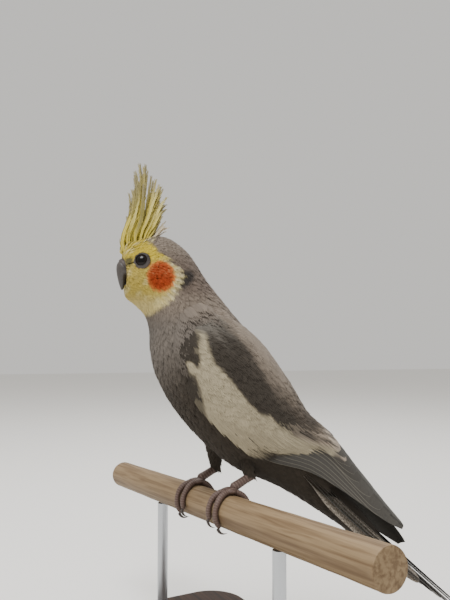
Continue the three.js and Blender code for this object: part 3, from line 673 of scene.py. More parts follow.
# %% [markdown]
# ## Laying the feathers
# From each root a feather runs along the body towards the tail. Its points are worked out as steps over
# the chart, so that it bends with the body, and its height rises from the sunk root to the free tip:
# that alone makes each feather lie over the root of the next, like tiles. Each also gets a patch of the
# bake map at its root's place on the chart, about three thousandths across, so that baked colours stay
# with the feather that they belong to.

# %% Feathers over the chart
BAKE_PATCH = 0.003
# The part of a feather that shows beyond the ones over it: its markings are read there.
SEEN_SHARE = 0.75


def joined_feathers(name, points, triangles, tints, vane, bake):
    """One mesh from arrays: points, triangles, and colours and two UV maps by vertex."""
    mesh = bpy.data.meshes.new(name)
    mesh.vertices.add(len(points))
    mesh.vertices.foreach_set("co", points.astype(np.float32).ravel())
    corners = triangles.ravel().astype(np.int32)
    mesh.loops.add(len(corners))
    mesh.loops.foreach_set("vertex_index", corners)
    mesh.polygons.add(len(triangles))
    mesh.polygons.foreach_set("loop_start", np.arange(0, len(corners), 3, dtype=np.int32))
    mesh.update(calc_edges=True)
    for map_name, places in (("OFBake", bake), ("vane", vane)):
        uv = mesh.uv_layers.new(name=map_name)
        uv.data.foreach_set("uv", places[corners].astype(np.float32).ravel())
    paint(mesh, tints)
    return mesh


def chart_ways(surface, p, q):
    """The chart's two directions, and two unit ones at right angles that lie in the surface."""
    way_p, way_q = steepness(surface, p, q)
    first = unit(way_p)
    second = unit(way_q - np.sum(way_q * first, -1, keepdims=True) * first)
    return way_p, way_q, first, second


def chart_steps(surface, p, q, along, across):
    """Chart places reached from (p, q) by so many metres along the first direction and across it."""
    way_p, way_q, first, second = chart_ways(surface, p, q)
    dq = across / np.sum(way_q * second, -1)[:, None]
    dp = (along - dq * np.sum(way_q * first, -1)[:, None]) / np.linalg.norm(way_p, axis=-1)[:, None]
    return p[:, None] + dp, q[:, None] + dq


def bake_patch(points):
    """Places of a feather's points on its patch of the bake map, round its middle."""
    return np.stack([points[:, 0] / 2, points[:, 1] - 0.5], -1) * BAKE_PATCH


# Feathers differ in size and lift, are arched by so many mm across, and are this thick at the root.
SIZE_RANGE = (0.85, 1.15)
LIFT_RANGE = (-0.12, 0.12)
ARCH = 0.18
HALF_THICKNESS = 0.1
# On the streaks' map each feather starts this far from the last one, so that no two look alike.
STREAK_STEP = 7


def lay_feathers(surface, p, q, shape, size, height, turn, seed, jitter):
    """Arrays of feathers on a surface. size is (length, width) in mm, height (root, tip) in mm."""
    draw = np.random.default_rng(seed)
    points, triangles = shape
    length, width = (np.broadcast_to(value, p.shape) * draw.uniform(*SIZE_RANGE, len(p)) for value in size)
    swing = turn + draw.normal(0, jitter, len(p))
    run = points[:, 1] * length[:, None] * MM
    side = points[:, 0] * width[:, None] * MM / 2
    cos, sin = np.cos(swing)[:, None], np.sin(swing)[:, None]
    p_all, q_all = chart_steps(surface, p, q, run * cos - side * sin, run * sin + side * cos)
    lift = draw.uniform(*LIFT_RANGE, len(p))[:, None]
    low, high = (np.broadcast_to(value, p.shape)[:, None] for value in height)
    level = low + (high - low + lift) * points[:, 1] ** 0.8 - ARCH * np.abs(points[:, 0]) ** 2
    places = surface(p_all, q_all, level + HALF_THICKNESS * points[:, 2])
    order = np.arange(len(p))[:, None]
    faces = (triangles[None] + (order * len(points))[..., None]).reshape(-1, 3)
    vane = np.stack([points[:, 0] * width[:, None] / 2 + STREAK_STEP * order, run / MM], -1)
    return places.reshape(-1, 3), faces, vane.reshape(-1, 2), (p_all.ravel(), q_all.ravel())


flat = lay_feathers(body_point, np.array([7.0]), np.array([0.5]), BODY_FEATHER, (9, 4), (-1, 0), 0, 1, 0)
print("one laid feather has", len(flat[0]), "points")

# %% One piece of the coat
# Feathers differ in tone by this share, and are a little lighter than their markings at the tip.
# Each darkens towards its covered root: painted shade under the feathers that lie over it.
TONE_SPREAD = 0.06
TIP_LIGHT = 1.08


def coat(name, surface, spans, pitch, keep, shape, size, height, seed, colour, nodes,
         turn=0.0, root_painted_shade=0.72, local=0.5, jitter=0.12):
    """Sows, lays, colours and joins one piece of the coat. local is how far a marking cuts feathers. Each
    feather is darkened towards its root: painted shade.
    """
    p, q = sow(surface, *spans, pitch, keep, seed)
    sizes = [value(p, q) if callable(value) else value for value in size]
    turns, heights = (value(p, q) if callable(value) else value for value in (turn, height))
    places, faces, vane, chart = lay_feathers(surface, p, q, shape, sizes, heights, turns, seed, jitter)
    draw = np.random.default_rng(seed + 1)
    seen = SEEN_SHARE * MM * np.broadcast_to(sizes[0], p.shape)[:, None]
    seen_p, seen_q = (places_seen[:, 0] for places_seen in chart_steps(surface, p, q, seen, 0))
    own = colour(seen_p, seen_q, surface(seen_p, seen_q, 0))
    each = len(shape[0])
    tone = np.repeat(draw.normal(1, TONE_SPREAD, (len(p), 1)), each, axis=0)
    along = np.tile(shape[0][:, 1], len(p))[:, None]
    here = colour(*chart, surface(*chart, 0))
    tints = (np.repeat(own, each, axis=0) * (1 - local) + here * local) * tone
    # Painted shade towards each covered root.
    tints = tints * (root_painted_shade + (TIP_LIGHT - root_painted_shade) * along)
    root = np.stack([(at - low) / (high - low) for at, (low, high) in zip((q, p), spans[::-1])], -1)
    bake = (root[:, None] * 0.99 + 0.005 + bake_patch(shape[0])[None]).reshape(-1, 2)
    mesh = joined_feathers(name, places, faces, np.clip(tints, 0, 1), vane, bake)
    print(f"{name}: {len(p)} feathers")
    return show(mesh, name, PLUMAGE, nodes, smooth=False)


# %% [markdown]
# ## Wings on a chart
# A folded wing lies on the body like a second, smaller sheet. Its chart has one share from the shoulder
# to the wing's tip and one from its lower edge to the edge on the back. The right wing is the left one
# mirrored, lying a little lower and further back at its tip, as in the photo.

# %% The wing's chart
WING_BED = np.vstack([BODY_ROWS[:9], [
    [48, 46, 12, 18.5, 18.8],
    [62.5, 34.5, 41, 11, 14.5],
    [78, 17, 61, 0, 11],
    [93, -1, 80, -12, 8.5],
    [105, -15, 99, -21, 7],
]])
WING_ROWS = np.array([
    # bed row, lower angle and upper angle in degrees
    [5.3, 98, 86],
    [5.55, 113, 66],
    [6, 120, 46],
    [6.6, 122, 26],
    [7.5, 121, 13],
    [8.5, 116, 11],
    [9.3, 110, 12],
    [10, 106, 13],
    [11, 98, 16],
    [12, 88, 22],
    [12.9, 66, 38],
])
TAIL_DIRECTION = unit(np.array([0.72, 0, -0.694]))
TAIL_UP = unit(np.array([0.694, 0, 0.72]))
RIGHT_WING_DROOP = 5
RIGHT_WING_REACH = 13


def wing_point(side, along, across, height):
    row, low, high = np.moveaxis(smooth_row(WING_ROWS, along * (len(WING_ROWS) - 1)), -1, 0)
    points = section_point(WING_BED, row, np.radians(low + (high - low) * across), height)
    if side > 0:
        shift = RIGHT_WING_REACH * TAIL_DIRECTION - RIGHT_WING_DROOP * TAIL_UP
        points = points * np.array([1, -1, 1]) + (along ** 2)[..., None] * shift
    return placed(points)


# Body rows that a wing covers, and by how many degrees its edges reach past the bare part.
COVERED_ROWS = (6, 9.3)
COVER_MARGIN = 14


def under_wing(s, angle):
    """True where a folded wing covers the body."""
    low, high = (np.interp(s, WING_ROWS[:, 0], WING_ROWS[:, k]) for k in (1, 2))
    degrees = np.degrees(np.abs((angle + math.pi) % (2 * math.pi) - math.pi))
    on_rows = (s > COVERED_ROWS[0]) & (s < COVERED_ROWS[1])
    return on_rows & (degrees > high + COVER_MARGIN) & (degrees < low - COVER_MARGIN)


wing = path_length(wing_point(-1, np.linspace(0, 1, 50), np.full(50, 0.3), 0))
print(f"the folded wing is {wing:.0f} mm long")

# %% [markdown]
# ## Eyes
# A cockatiel's eye is dark brown, almost black, with a wet shine, in a ring of bare grey skin that rises
# to a fine lid. The ball is a sphere whose pole looks outwards, so that pupil and iris are circles round
# that pole, and it sits as deep as the frame's own. The ring is a small cross-section spun once round
# the eye's axis, which is how one would turn it in wax.

# %% Eye seats
EYE_ROW = 1.9
EYE_ANGLE = 1.31
EYE_RADIUS = 3.8
EYE_SUNK = 2.35
BARE_RING = 3.3


def seat_on(surface, p, q, side, outwards):
    """Point and outward direction of a surface at one place of its chart, on the side named."""
    place = np.array([p]), np.array([q])
    outward = unit(np.cross(*(way[0] for way in steepness(surface, *place))))
    outward = outward * (1 if outward @ np.array(outwards) > 0 else -1)
    flip = np.array([1, -side, 1])
    return Vector(surface(*place, 0)[0] * flip), Vector(outward * flip)


def upright_on(seat, depth=0.0):
    """The turn and shift that puts an upright piece on a seat, so many mm deep."""
    point, outward = seat
    turn = outward.to_track_quat("Z", "X").to_matrix().to_4x4()
    return Matrix.Translation(point - outward * depth * MM) @ turn


EYES = {name: seat_on(body_point, EYE_ROW, EYE_ANGLE, side, (0, -1, 0)) for name, side in SIDES.items()}
print("left eye at", [round(x / MM, 1) for x in EYES["left"][0]], "mm")

# %% Eye material and balls
# Where each ring ends, as a share of the way from the pole round the ball: pupil, iris, rim and white.
EYE_RINGS = [(0.17, "#060404"), (0.19, "#180e08"), (0.26, "#120a06"), (0.3, "#070505")]


def eye_material():
    """Wet cornea over a dark brown iris: the shine comes from a clear coat, the colour from rings."""
    material, tree, surface = new_material("wet_dark_brown_eye", Roughness=0.1, Coat_Weight=0.2,
                                           Coat_Roughness=0.02, IOR=1.38, Specular_IOR_Level=0.2)
    ring = add(tree, "Attribute", attribute_name="ring")
    ramp = add(tree, "ValToRGB", {"Fac": ring.outputs["Fac"]})
    stops = ramp.color_ramp.elements
    stops[0].position, stops[1].position = EYE_RINGS[0][0], EYE_RINGS[-1][0]
    for place, code in EYE_RINGS[1:-1]:
        stops.new(place)
    for stop, (place, code) in zip(stops, EYE_RINGS):
        stop.color = rgba(code)
    dress(tree, surface, ramp)
    return material


def bare_skin_material(name, base, crease_shade_colour, wrinkle_mm, painted=False):
    """Thin bare skin: satin, creased at the given spacing, with painted shade darkening the creases.
    Painted skin is toned by its tint.
    """
    material, tree, surface = new_material(name, Roughness=0.55, Specular_IOR_Level=0.35)
    place = add(tree, "TexCoord").outputs["Object"]
    creases = add(tree, "TexVoronoi", {"Vector": place, "Scale": 1 / (wrinkle_mm * MM)},
                  feature="DISTANCE_TO_EDGE")
    blotch = add(tree, "TexNoise", {"Vector": place, "Scale": 350, "Detail": 3})
    line = add(tree, "MapRange", {"Value": creases, "From Max": 0.12})
    tone = add(tree, "Mix", {"Factor": blotch, "A": rgba(base[0]), "B": rgba(base[1])}, data_type="RGBA")
    # Painted shade in the creases.
    colour = add(tree, "Mix", {"Factor": line, "A": rgba(crease_shade_colour), "B": tone}, data_type="RGBA")
    dress(tree, surface, tinted(tree, colour) if painted else colour, line, 0.4, 0.08)
    return material


EYE_GLOSS = eye_material()
EYE_RING_SKIN = bare_skin_material("eye_ring_skin", ("#635c5b", "#4c4644"), "#3b3635", 0.5, True)

for name, side in SIDES.items():
    ball = bmesh.new()
    bmesh.ops.create_uvsphere(ball, u_segments=48, v_segments=32, radius=EYE_RADIUS * MM)
    mesh = bpy.data.meshes.new(f"eye_{name}_ball")
    ball.to_mesh(mesh)
    ball.free()
    places = vertex_places(mesh) / (EYE_RADIUS * MM)
    ring = mesh.attributes.new("ring", "FLOAT", "POINT")
    ring.data.foreach_set("value", (np.arccos(np.clip(places[:, 2], -1, 1)) / math.pi).astype(np.float32))
    mesh.transform(upright_on(EYES[name], EYE_SUNK))
    show(mesh, f"eye_{name}_ball", EYE_GLOSS, [f"eye_{name}"])

# %% Eye rings and lids
# Section of the lid ring from the eyeball outwards: (radius, height) in mm over the seat.
LID_SECTION = [
    (2.7, 0.1), (2.8, 0.48), (2.95, 0.66), (3.15, 0.58), (3.45, 0.34), (3.8, -0.05), (4.3, -0.7),
    (4.1, -1.4), (3, -1.3),
]
LID_EDGE = linear("#3a3434")
# Painted shade on the ring's upper part.
LID_PAINTED_SHADE = linear("#8a8480")


def lid_ring(name):
    lid = spun_outline([(radius * MM, height * MM) for radius, height in LID_SECTION], 72, closed=True)
    for vertex in lid.verts:
        angle = math.atan2(vertex.co.y, vertex.co.x)
        wave = 1 + 0.012 * math.sin(18 * angle) + 0.01 * math.sin(7 * angle + 1)
        vertex.co.x *= wave
        vertex.co.y *= wave
    lid.transform(upright_on(EYES[name]))
    return lid


for name in SIDES:
    lid = show_shapes([lid_ring(name)], f"eye_ring_{name}", EYE_RING_SKIN, ["head"])
    places = vertex_places(lid.data)
    away = np.linalg.norm(places - np.array(EYES[name][0]), axis=-1) / MM
    below = (EYES[name][0].z - places[:, 2]) / MM
    # Painted shade: the ring darkens towards its top, and below the eye it keeps the skin's own tone.
    shaded_above = mix(np.tile(LID_PAINTED_SHADE, (len(places), 1)), np.ones(3), smooth_step(-2.5, 2, below))
    paint(lid.data, mix(np.tile(LID_EDGE, (len(places), 1)), shaded_above, smooth_step(2.85, 3.6, away)))

# %% [markdown]
# ## Coat of head and body
# Feathers are smallest on the face, about 2 mm, and grow to 9 mm on the back and 14 mm under the tail.
# Those of the forehead stand up against the crest, and longer ones at the shoulder hide the wing's front
# edge. One joined mesh would do, but bands from face to tail keep each piece light enough to export.
# Round the eye the roots stop, which leaves the bare ring free.

# %% Head coat
ALL_ROUND = (-math.pi, math.pi)
FACE_SPANS = ((0.05, 2.6), ALL_ROUND)


def clear_of_eyes(points, margin=0.0):
    apart = [np.linalg.norm(points - np.array(seat[0]), axis=-1) for seat in EYES.values()]
    return np.minimum(*apart) > (BARE_RING + margin) * MM


def head_root(p, q, points):
    return clear_of_eyes(points)


# Feathers turn by so many radians, between these distances in mm, up to so far behind the eye.
PARTED_TURN = 0.7
PARTED_REACH = (9, 3.5)
PARTED_BEHIND = 3


def around_eye(p, q):
    """Feathers close to an eye turn to pass round it."""
    points = body_point(p, q, 0)
    turn = np.zeros(len(p))
    _, _, first, second = chart_ways(body_point, p, q)
    for point, _ in EYES.values():
        away = points - np.array(point)
        near = smooth_step(*PARTED_REACH, np.linalg.norm(away, axis=-1) / MM)
        above = np.sign(np.sum(away * second, -1))
        ahead = np.sum(away * first, -1) < PARTED_BEHIND * MM
        turn = turn + near * PARTED_TURN * above * ahead
    return turn


def face_length(p, q):
    return np.interp(p, [0, 1, 2, 3, 4.3], [1.6, 2.4, 3, 4, 5.4])


def body_tints(p, q, points):
    return body_colour(points)


def body_length(p, q):
    return np.interp(p, [4, 5.5, 8, 10.5, 13], [5.4, 7, 9, 10, 14])


HEAD_NODES = ["head"]
coat("coat_face", face_point, FACE_SPANS, 0.7, head_root, FINE_FEATHER,
     (face_length, lambda p, q: 0.55 * face_length(p, q)), (-1.0, 0.0), 11, body_tints,
     HEAD_NODES, turn=around_eye)
for half, (start, end) in {"left": (0, math.pi), "right": (-math.pi, 0)}.items():
    coat(f"coat_crown_{half}", face_point, ((2.6, 4.4), (start, end)), 0.95, head_root, FINE_FEATHER,
         (face_length, lambda p, q: 0.5 * face_length(p, q)), (-1.0, 0.05), 12, body_tints,
         HEAD_NODES, turn=around_eye)

# %% Forehead coat
FOREHEAD_SPANS = ((0.1, 2.5), (-1.05, 1.05))
FOREHEAD_OLIVE = linear("#7d7030")


def forehead_root(p, q, points):
    """On the forehead and the front of the crown, round the roots of the crest."""
    return clear_of_eyes(points, 1.2) & (np.abs(q) < 1.05 - 0.2 * p)


def forehead_height(p, q):
    """Raised against the crest's plumes in the middle, flush with the face at its edges."""
    return -0.9, 0.2 + (2.4 - 0.8 * p) * smooth_step(1.05 - 0.2 * p, 0.4, np.abs(q))


def forehead_tints(p, q, points):
    streak = np.sin(41 * q + 5 * p) * np.sin(23 * q - 11 * p)
    colour = mix(body_colour(points), YELLOW_PALE, 0.7 * smooth_step(0.25, 0.8, streak))
    return mix(colour, FOREHEAD_OLIVE, 0.6 * smooth_step(-0.25, -0.8, streak))


coat("coat_forehead", face_point, FOREHEAD_SPANS, 1.25, forehead_root, FINE_FEATHER,
     (lambda p, q: 6.5 - p, 1.5), forehead_height, 13, forehead_tints,
     HEAD_NODES, local=0.2, jitter=0.16)

# %% Body coat
BODY_BANDS = [
    # name, first row, last row, distance between roots in mm
    ("neck", 4.4, 6.0, 1.45),
    ("breast_and_back", 6.0, 8.2, 1.8),
    ("belly_and_rump", 8.2, 10.4, 1.9),
    ("tail_coverts", 10.4, 12.3, 1.7),
]


def body_root(p, q, points):
    """Feathers grow where no wing lies, and under the tail only on a wedge that narrows."""
    wedge = np.interp(p, [10.2, 10.6, 12.5], [180, 70, 35])
    return ~under_wing(p, q) & (180 - np.degrees(np.abs(q)) < wedge)


for k, (name, first, last, pitch) in enumerate(BODY_BANDS):
    coat(f"coat_{name}", body_point, ((first, last), ALL_ROUND), pitch, body_root, BODY_FEATHER,
         (body_length, lambda p, q: 0.46 * body_length(p, q)), (-1.1, 0.1), 20 + k, body_tints,
         ["neck", "torso"], root_painted_shade=0.86)

# The wing's front edge: at these angles in degrees it begins on these rows of the body.
WING_FRONT = np.array([[46, 6], [66, 5.55], [86, 5.3], [98, 5.3], [113, 5.55], [122, 6]])


def shoulder_root(p, q, points):
    """Just in front of a wing, whose edge these feathers hide."""
    degrees = np.degrees(np.abs(q))
    ahead = np.interp(degrees, WING_FRONT[:, 0], WING_FRONT[:, 1]) - p
    return (ahead > 0.02) & (ahead < 0.5) & (degrees > 60) & (degrees < 122)


coat("coat_shoulders", body_point, ((4.8, 6), ALL_ROUND), 1.3, shoulder_root, BODY_FEATHER,
     (7.5, 3.6), (-0.7, 2.8), 26, body_tints, ["neck", "torso"], root_painted_shade=0.86)

# %% Leg coat
for name, side in SIDES.items():
    def shin(p, q, h, side=side):
        return leg_point(side, 1 - p, q, h)

    coat(f"coat_leg_{name}", shin, ((0, 0.93), ALL_ROUND), 1.1,
         lambda p, q, points: p > -1, FINE_FEATHER, (5, 2.2), (-0.5, 0.9), 31, body_tints,
         [f"leg_{name}"])

# %% [markdown]
# ## Wing markings
# The wing is dark grey with a long white patch along its lower edge: the outer coverts, from the
# shoulder to the roots of the long flight feathers. The shoulder is paler and the feathers along the
# back, the scapulars, are browner. On the wing's chart the patch is a band between two curves, each
# given by a few points, with a small hook at its front.

# %% Markings of a wing
WING_DARK = linear("#38332d")
WING_SHOULDER = linear("#67625b")
WING_BROWN = linear("#7b7064")
WING_BROWN_LOW = linear("#463e36")
PATCH_WHITE = linear("#9c927b")
TIP_CREAM = linear("#ab9c8b")
FLIGHT_GREY = linear("#403d38")
# Above this share across the wing its feathers are brown, given at shares along it.
BROWN_FROM = np.array([[0.12, 1.15], [0.19, 0.9], [0.29, 0.72], [0.38, 0.62], [0.57, 0.6], [0.7, 0.6]])
PATCH_LOW = np.array([
    # share along the wing, share across it
    [0.14, 0.49], [0.165, 0.4], [0.2, 0.31], [0.247, 0.24], [0.27, 0.12], [0.3, 0.07], [0.335, 0.04],
    [0.373, -0.04], [0.42, -0.1], [0.53, -0.1], [0.577, 0.08], [0.61, 0.12], [0.693, 0.27], [0.74, 0.5],
])
PATCH_HIGH = np.array([
    [0.145, 0.5], [0.167, 0.515], [0.208, 0.447], [0.253, 0.36], [0.297, 0.31], [0.338, 0.315],
    [0.43, 0.305], [0.455, 0.32], [0.477, 0.38], [0.6, 0.405], [0.675, 0.455], [0.707, 0.52], [0.74, 0.52],
])
# A hook of white points forwards at the patch's lower front corner.
HOOK = (0.25, 0.1)
HOOK_SIZE = (0.032, 0.05)


def wing_colour(along, across):
    brown = across - np.interp(along, BROWN_FROM[:, 0], BROWN_FROM[:, 1])
    grain = 0.06 * np.sin(90 * across + 14 * along) * np.sin(31 * along - 43 * across)
    shoulder = smooth_step(0.3, 0.12, along + grain) * smooth_step(0.4, 0.6, across)
    dark = mix(WING_DARK, WING_SHOULDER, shoulder)
    browner = mix(WING_BROWN, WING_BROWN_LOW, smooth_step(0.42, 0.56, along + grain))
    colour = mix(dark, browner, smooth_step(-0.1, 0.1, brown + grain))
    tips = smooth_step(0.6, 0.68, along) * smooth_step(0.42, 0.5, across) * smooth_step(0.8, 0.76, along)
    mottle = smooth_step(0.2, 0.8, 0.5 + 0.5 * np.sin(71 * along + 37 * across) * np.sin(83 * across))
    colour = mix(colour, TIP_CREAM, tips * mottle)
    low = np.interp(along, PATCH_LOW[:, 0], PATCH_LOW[:, 1], left=1, right=1)
    high = np.interp(along, PATCH_HIGH[:, 0], PATCH_HIGH[:, 1], left=0, right=0)
    inside = smooth_step(-0.015, 0.015, across - low) * smooth_step(-0.015, 0.015, high - across)
    hook = np.hypot((along - HOOK[0]) / HOOK_SIZE[0], (across - HOOK[1]) / HOOK_SIZE[1])
    inside = np.maximum(inside, smooth_step(1.15, 0.85, hook))
    return mix(colour, PATCH_WHITE, inside)


print("white patch:", wing_colour(np.array([0.4]), np.array([0.15])).round(2))

# %% Wing arms and small coverts
SCAPULAR_BROWN = linear("#786d62")
SCAPULAR_PALE = linear("#9d9082")
SCAPULAR_LIMIT = 4
SWELL = 2.1
SWELL_AT = 0.43
SHOULDER_LOWERED = 1.6
ARM_END = 0.72
# Last roots of the coverts, as shares across and along the wing.
COVERT_REACH = np.array([[0, 0.46], [0.15, 0.52], [0.3, 0.6], [0.55, 0.63], [0.75, 0.6], [1, 0.58]])


def wing_surface(side):
    def surface(p, q, height):
        return wing_point(side, p, q, height)
    return surface


def wing_arm(side):
    """The wing's flesh, a flat closed roll that thins towards the flight feathers."""
    def place(u, v):
        along, outer = v * ARM_END, u < 0.5
        across = 0.04 + 0.92 * np.where(outer, 2 * u, 2 - 2 * u)
        crown = np.sqrt(np.clip(np.sin(math.pi * across), 0, 1))
        proud = np.minimum(1, 0.35 + along * 5) * (1.7 - 1.4 * smooth_step(0.2, 0.5, along))
        return wing_point(side, along, across, np.where(outer, proud * crown, -3 + 2.8 * v))
    return mapped_grid(40, 40, place)


def covert_root(p, q, points):
    """Coverts reach further back near the back's edge than at the wing's lower edge."""
    return p < np.interp(q, COVERT_REACH[:, 0], COVERT_REACH[:, 1])


def covert_height(p, q):
    """The coverts lie lower as the wing thins, and lower towards both of its edges."""
    crown = 0.45 + 0.55 * np.sqrt(np.sin(math.pi * np.clip(q, 0.02, 0.98)))
    front = smooth_step(-0.02, 0.1, p)
    low = (2.3 - SHOULDER_LOWERED * shoulder_share(p, q)) * crown * front - 0.9 * (1 - front)
    low = low + back_swell(p, q)
    return low, low + (1.0 - 0.4 * smooth_step(0.25, 0.6, p)) * crown


def shoulder_share(p, q):
    """One at the shoulder's upper end, where the feathers lie close, and nothing elsewhere."""
    return smooth_step(0.32, 0.2, p) * smooth_step(0.6, 0.85, q)


def back_swell(p, q):
    """Where the two wings meet on the back the feathers stand a little higher."""
    return SWELL * np.exp(-((p - SWELL_AT) / 0.09) ** 2) * smooth_step(0.45, 0.85, q)


def scapular_root(p, q, points):
    """Scapulars grow along the back's side of the wing, up to the middle of the back."""
    row, low, high = np.moveaxis(smooth_row(WING_ROWS, p * (len(WING_ROWS) - 1)), -1, 0)
    return low + (high - low) * q > SCAPULAR_LIMIT


def scapular_height(p, q):
    """Flat on the back, and over the coverts where the wing begins."""
    over = smooth_step(1.2, 0.88, q)
    low = -0.9 + (2.3 - SHOULDER_LOWERED * shoulder_share(p, q)) * over + back_swell(p, q)
    return low, low + 1.1


def scapular_tints(p, q, points):
    streak = smooth_step(0.3, 0.9, np.sin(61 * q + 9 * p) * np.sin(47 * p - 23 * q))
    colour = mix(SCAPULAR_BROWN, SCAPULAR_PALE, 0.5 * streak)
    return mix(colour, WING_BROWN_LOW, 0.7 * smooth_step(0.38, 0.56, p))


def wing_tints(p, q, points):
    return wing_colour(p, q)


swell = back_swell(SWELL_AT, np.array([0.5, 0.7, 0.9])).round(2)
print("towards the back the coverts stand higher by", swell, "mm")

# %% Arms and coats of both wings
for name, side in SIDES.items():
    surface = wing_surface(side)
    arm = show_shapes([wing_arm(side)], f"wing_{name}_arm", DOWN_SKIN, [f"wing_{name}"])
    # Painted shade: the arm's flesh is painted at 0.6 of the wing's dark grey, as it lies under the
    # coverts.
    paint(arm.data, np.tile(WING_DARK * 0.6, (len(arm.data.vertices), 1)))
    coat(f"wing_{name}_lesser_coverts", surface, ((0.005, 0.3), (0.02, 0.98)), 1.35,
         lambda p, q, points: p > 0, BODY_FEATHER, (lambda p, q: 4.6 + 9 * p, lambda p, q: 2.3 + 5 * p),
         covert_height, 41, wing_tints, [f"wing_{name}"], root_painted_shade=0.9, local=0.75)
    coat(f"wing_{name}_median_coverts", surface, ((0.26, 0.66), (0.0, 0.99)), 1.6, covert_root,
         BODY_FEATHER, (lambda p, q: 5.6 + 8 * p, lambda p, q: 3 + 4.4 * p), covert_height, 43,
         wing_tints, [f"wing_{name}"], root_painted_shade=0.9, local=0.7)
    coat(f"scapulars_{name}", surface, ((0.05, 0.52), (0.86, 1.22)), 1.9, scapular_root,
         BODY_FEATHER, (lambda p, q: 7 + 7 * p, lambda p, q: 3.4 + 3 * p), scapular_height, 45,
         scapular_tints, [f"wing_{name}"], root_painted_shade=0.9)

# %% [markdown]
# ## Long feathers
# Flight feathers, tail feathers and the crest are single vanes with a shaft. Each is one closed blade,
# rounded at its tip, with the shaft as a thin tube along its upper face. A function gives the place of
# each of its points, so the same blade follows the wing's chart, the tail's plane or the curve of a
# crest plume. The blade's edge coordinate is kept, for the pale rims that flight feathers have.

# %% Blades
BLADE_STATIONS = tuple(np.r_[np.linspace(0, 0.84, 15), 0.88, 0.915, 0.945, 0.97, 0.987, 1])
SHAFT_RADIUS = 0.34
SHAFT_TONE = 0.75


def outline_share(t, root, tip, tip_length):
    """Share of a vane's full width: opening from its root, rounded over tip_length at its end."""
    opening = np.minimum(1, root + (1 - root) * t * 3)
    return opening * (tip + (1 - tip) * rounded((t - 1 + tip_length) / tip_length))


def blade_place(u, v):
    """A flat roll that is closed at both ends, with stations close together towards its tip."""
    t = np.interp(v, np.linspace(0, 1, len(BLADE_STATIONS)), BLADE_STATIONS)
    open_end = np.where((t < 1e-6) | (t > 1 - 1e-6), 0, 1)
    cos, sin = circle(u)
    return np.stack([cos * open_end, t, sin * open_end], -1)


BLADE, SHAFT = (template(around, len(BLADE_STATIONS) - 1, blade_place) for around in (14, 6))
BLADE_CREASE = 50


def plain_tint(colour):
    def tint(t, x):
        return np.tile(colour, (len(t), 1))
    return tint


def long_feathers(name, feathers, material, nodes):
    """Joins blades and shafts. A feather has place(t, across, up), length, width, outline and tint."""
    points, faces, tints, vane, bake, edge, mottle = rows = [[] for _ in range(7)]
    start = 0
    longest = max(feather["length"] for feather in feathers)
    for k, feather in enumerate(feathers):
        length, thick = feather["length"], feather.get("thickness", 0.3) / 2
        for (shape, triangles), is_shaft in ((BLADE, False), (SHAFT, True)):
            x, t, w = shape.T
            half = feather["width"] / 2 * outline_share(t, *feather["outline"])
            if is_shaft:
                radius = feather.get("shaft", SHAFT_RADIUS) * (1 - 0.75 * t)
                across, up = x * radius, w * radius * 0.8 + thick
            else:
                across, up = x * half, w * thick
            points.append(feather["place"](t, across, up))
            faces.append(triangles + start)
            start += len(shape)
            tint = feather["tint"](t, across / np.maximum(half, 0.01))
            tints.append(tint * (SHAFT_TONE if is_shaft else 1))
            vane.append(np.stack([across + 30 * k, t * length], -1))
            cell = (k + 0.5 + 0.44 * np.clip(across / feather["width"] * 2, -1, 1)) / len(feathers)
            bake.append(np.stack([cell, 0.02 + 0.96 * t * length / longest], -1))
            edge.append(np.zeros(len(x)) if is_shaft else x)
            mottle.append(np.full(len(x), feather.get("mottle", 0) * (not is_shaft)))
    mesh = joined_feathers(name, *map(np.concatenate, rows[:5]))
    for label, values in (("edge", edge), ("mottle", mottle)):
        stored = mesh.attributes.new(label, "FLOAT", "POINT")
        stored.data.foreach_set("value", np.concatenate(values).astype(np.float32))
    mesh.set_sharp_from_angle(angle=math.radians(BLADE_CREASE))
    print(f"{name}: {len(feathers)} feathers")
    return show(mesh, name, material, nodes)


# %% Vane material
# Barbs run so many mm towards the tip from the shaft to the vane's edge.
BARB_SLANT = 3


def vane_material(name, rim_code, rim_width, barb_mm=0.45):
    """Smooth keratin vane: satin, combed with slanting barbs, with a pale rim on its outer edge."""
    material, tree, surface = new_material(name, Roughness=0.55, Specular_IOR_Level=0.35, Sheen_Weight=0.05)
    place = add(tree, "UVMap", uv_map="vane")
    parts = add(tree, "SeparateXYZ", {"Vector": place})
    edge = add(tree, "Attribute", attribute_name="edge").outputs["Fac"]
    out = add(tree, "Math", {0: edge}, operation="ABSOLUTE")
    combed = add(tree, "Math", {0: out, 1: -BARB_SLANT, 2: parts.outputs["Y"]}, operation="MULTIPLY_ADD")
    line = add(tree, "CombineXYZ", {"X": combed, "Y": out})
    barbs = add(tree, "TexNoise", {"Vector": line, "Scale": 1 / barb_mm, "Detail": 2})
    tone = add(tree, "MapRange", {"Value": barbs, "From Min": 0.3, "From Max": 0.7, "To Min": 0.85,
                                  "To Max": 1.15})
    mottled = add(tree, "Attribute", attribute_name="mottle").outputs["Fac"]
    specks = add(tree, "TexNoise", {"Vector": place, "Scale": 1.2, "Detail": 3})
    speck = add(tree, "MapRange", {"Value": specks, "From Min": 0.42, "From Max": 0.58})
    amount = add(tree, "Math", {0: speck, 1: mottled}, operation="MULTIPLY")
    spotted = add(tree, "Mix", {"Factor": amount, "A": tinted(tree, tone), "B": rgba("#938a7e")},
                  data_type="RGBA")
    rim = add(tree, "MapRange", {"Value": edge, "From Min": -1 + rim_width * 1.6,
                                 "From Max": -1 + rim_width * 0.6})
    colour = add(tree, "Mix", {"Factor": rim, "A": spotted, "B": rgba(rim_code)}, data_type="RGBA")
    dress(tree, surface, colour, barbs, 0.35, 0.1)
    return material


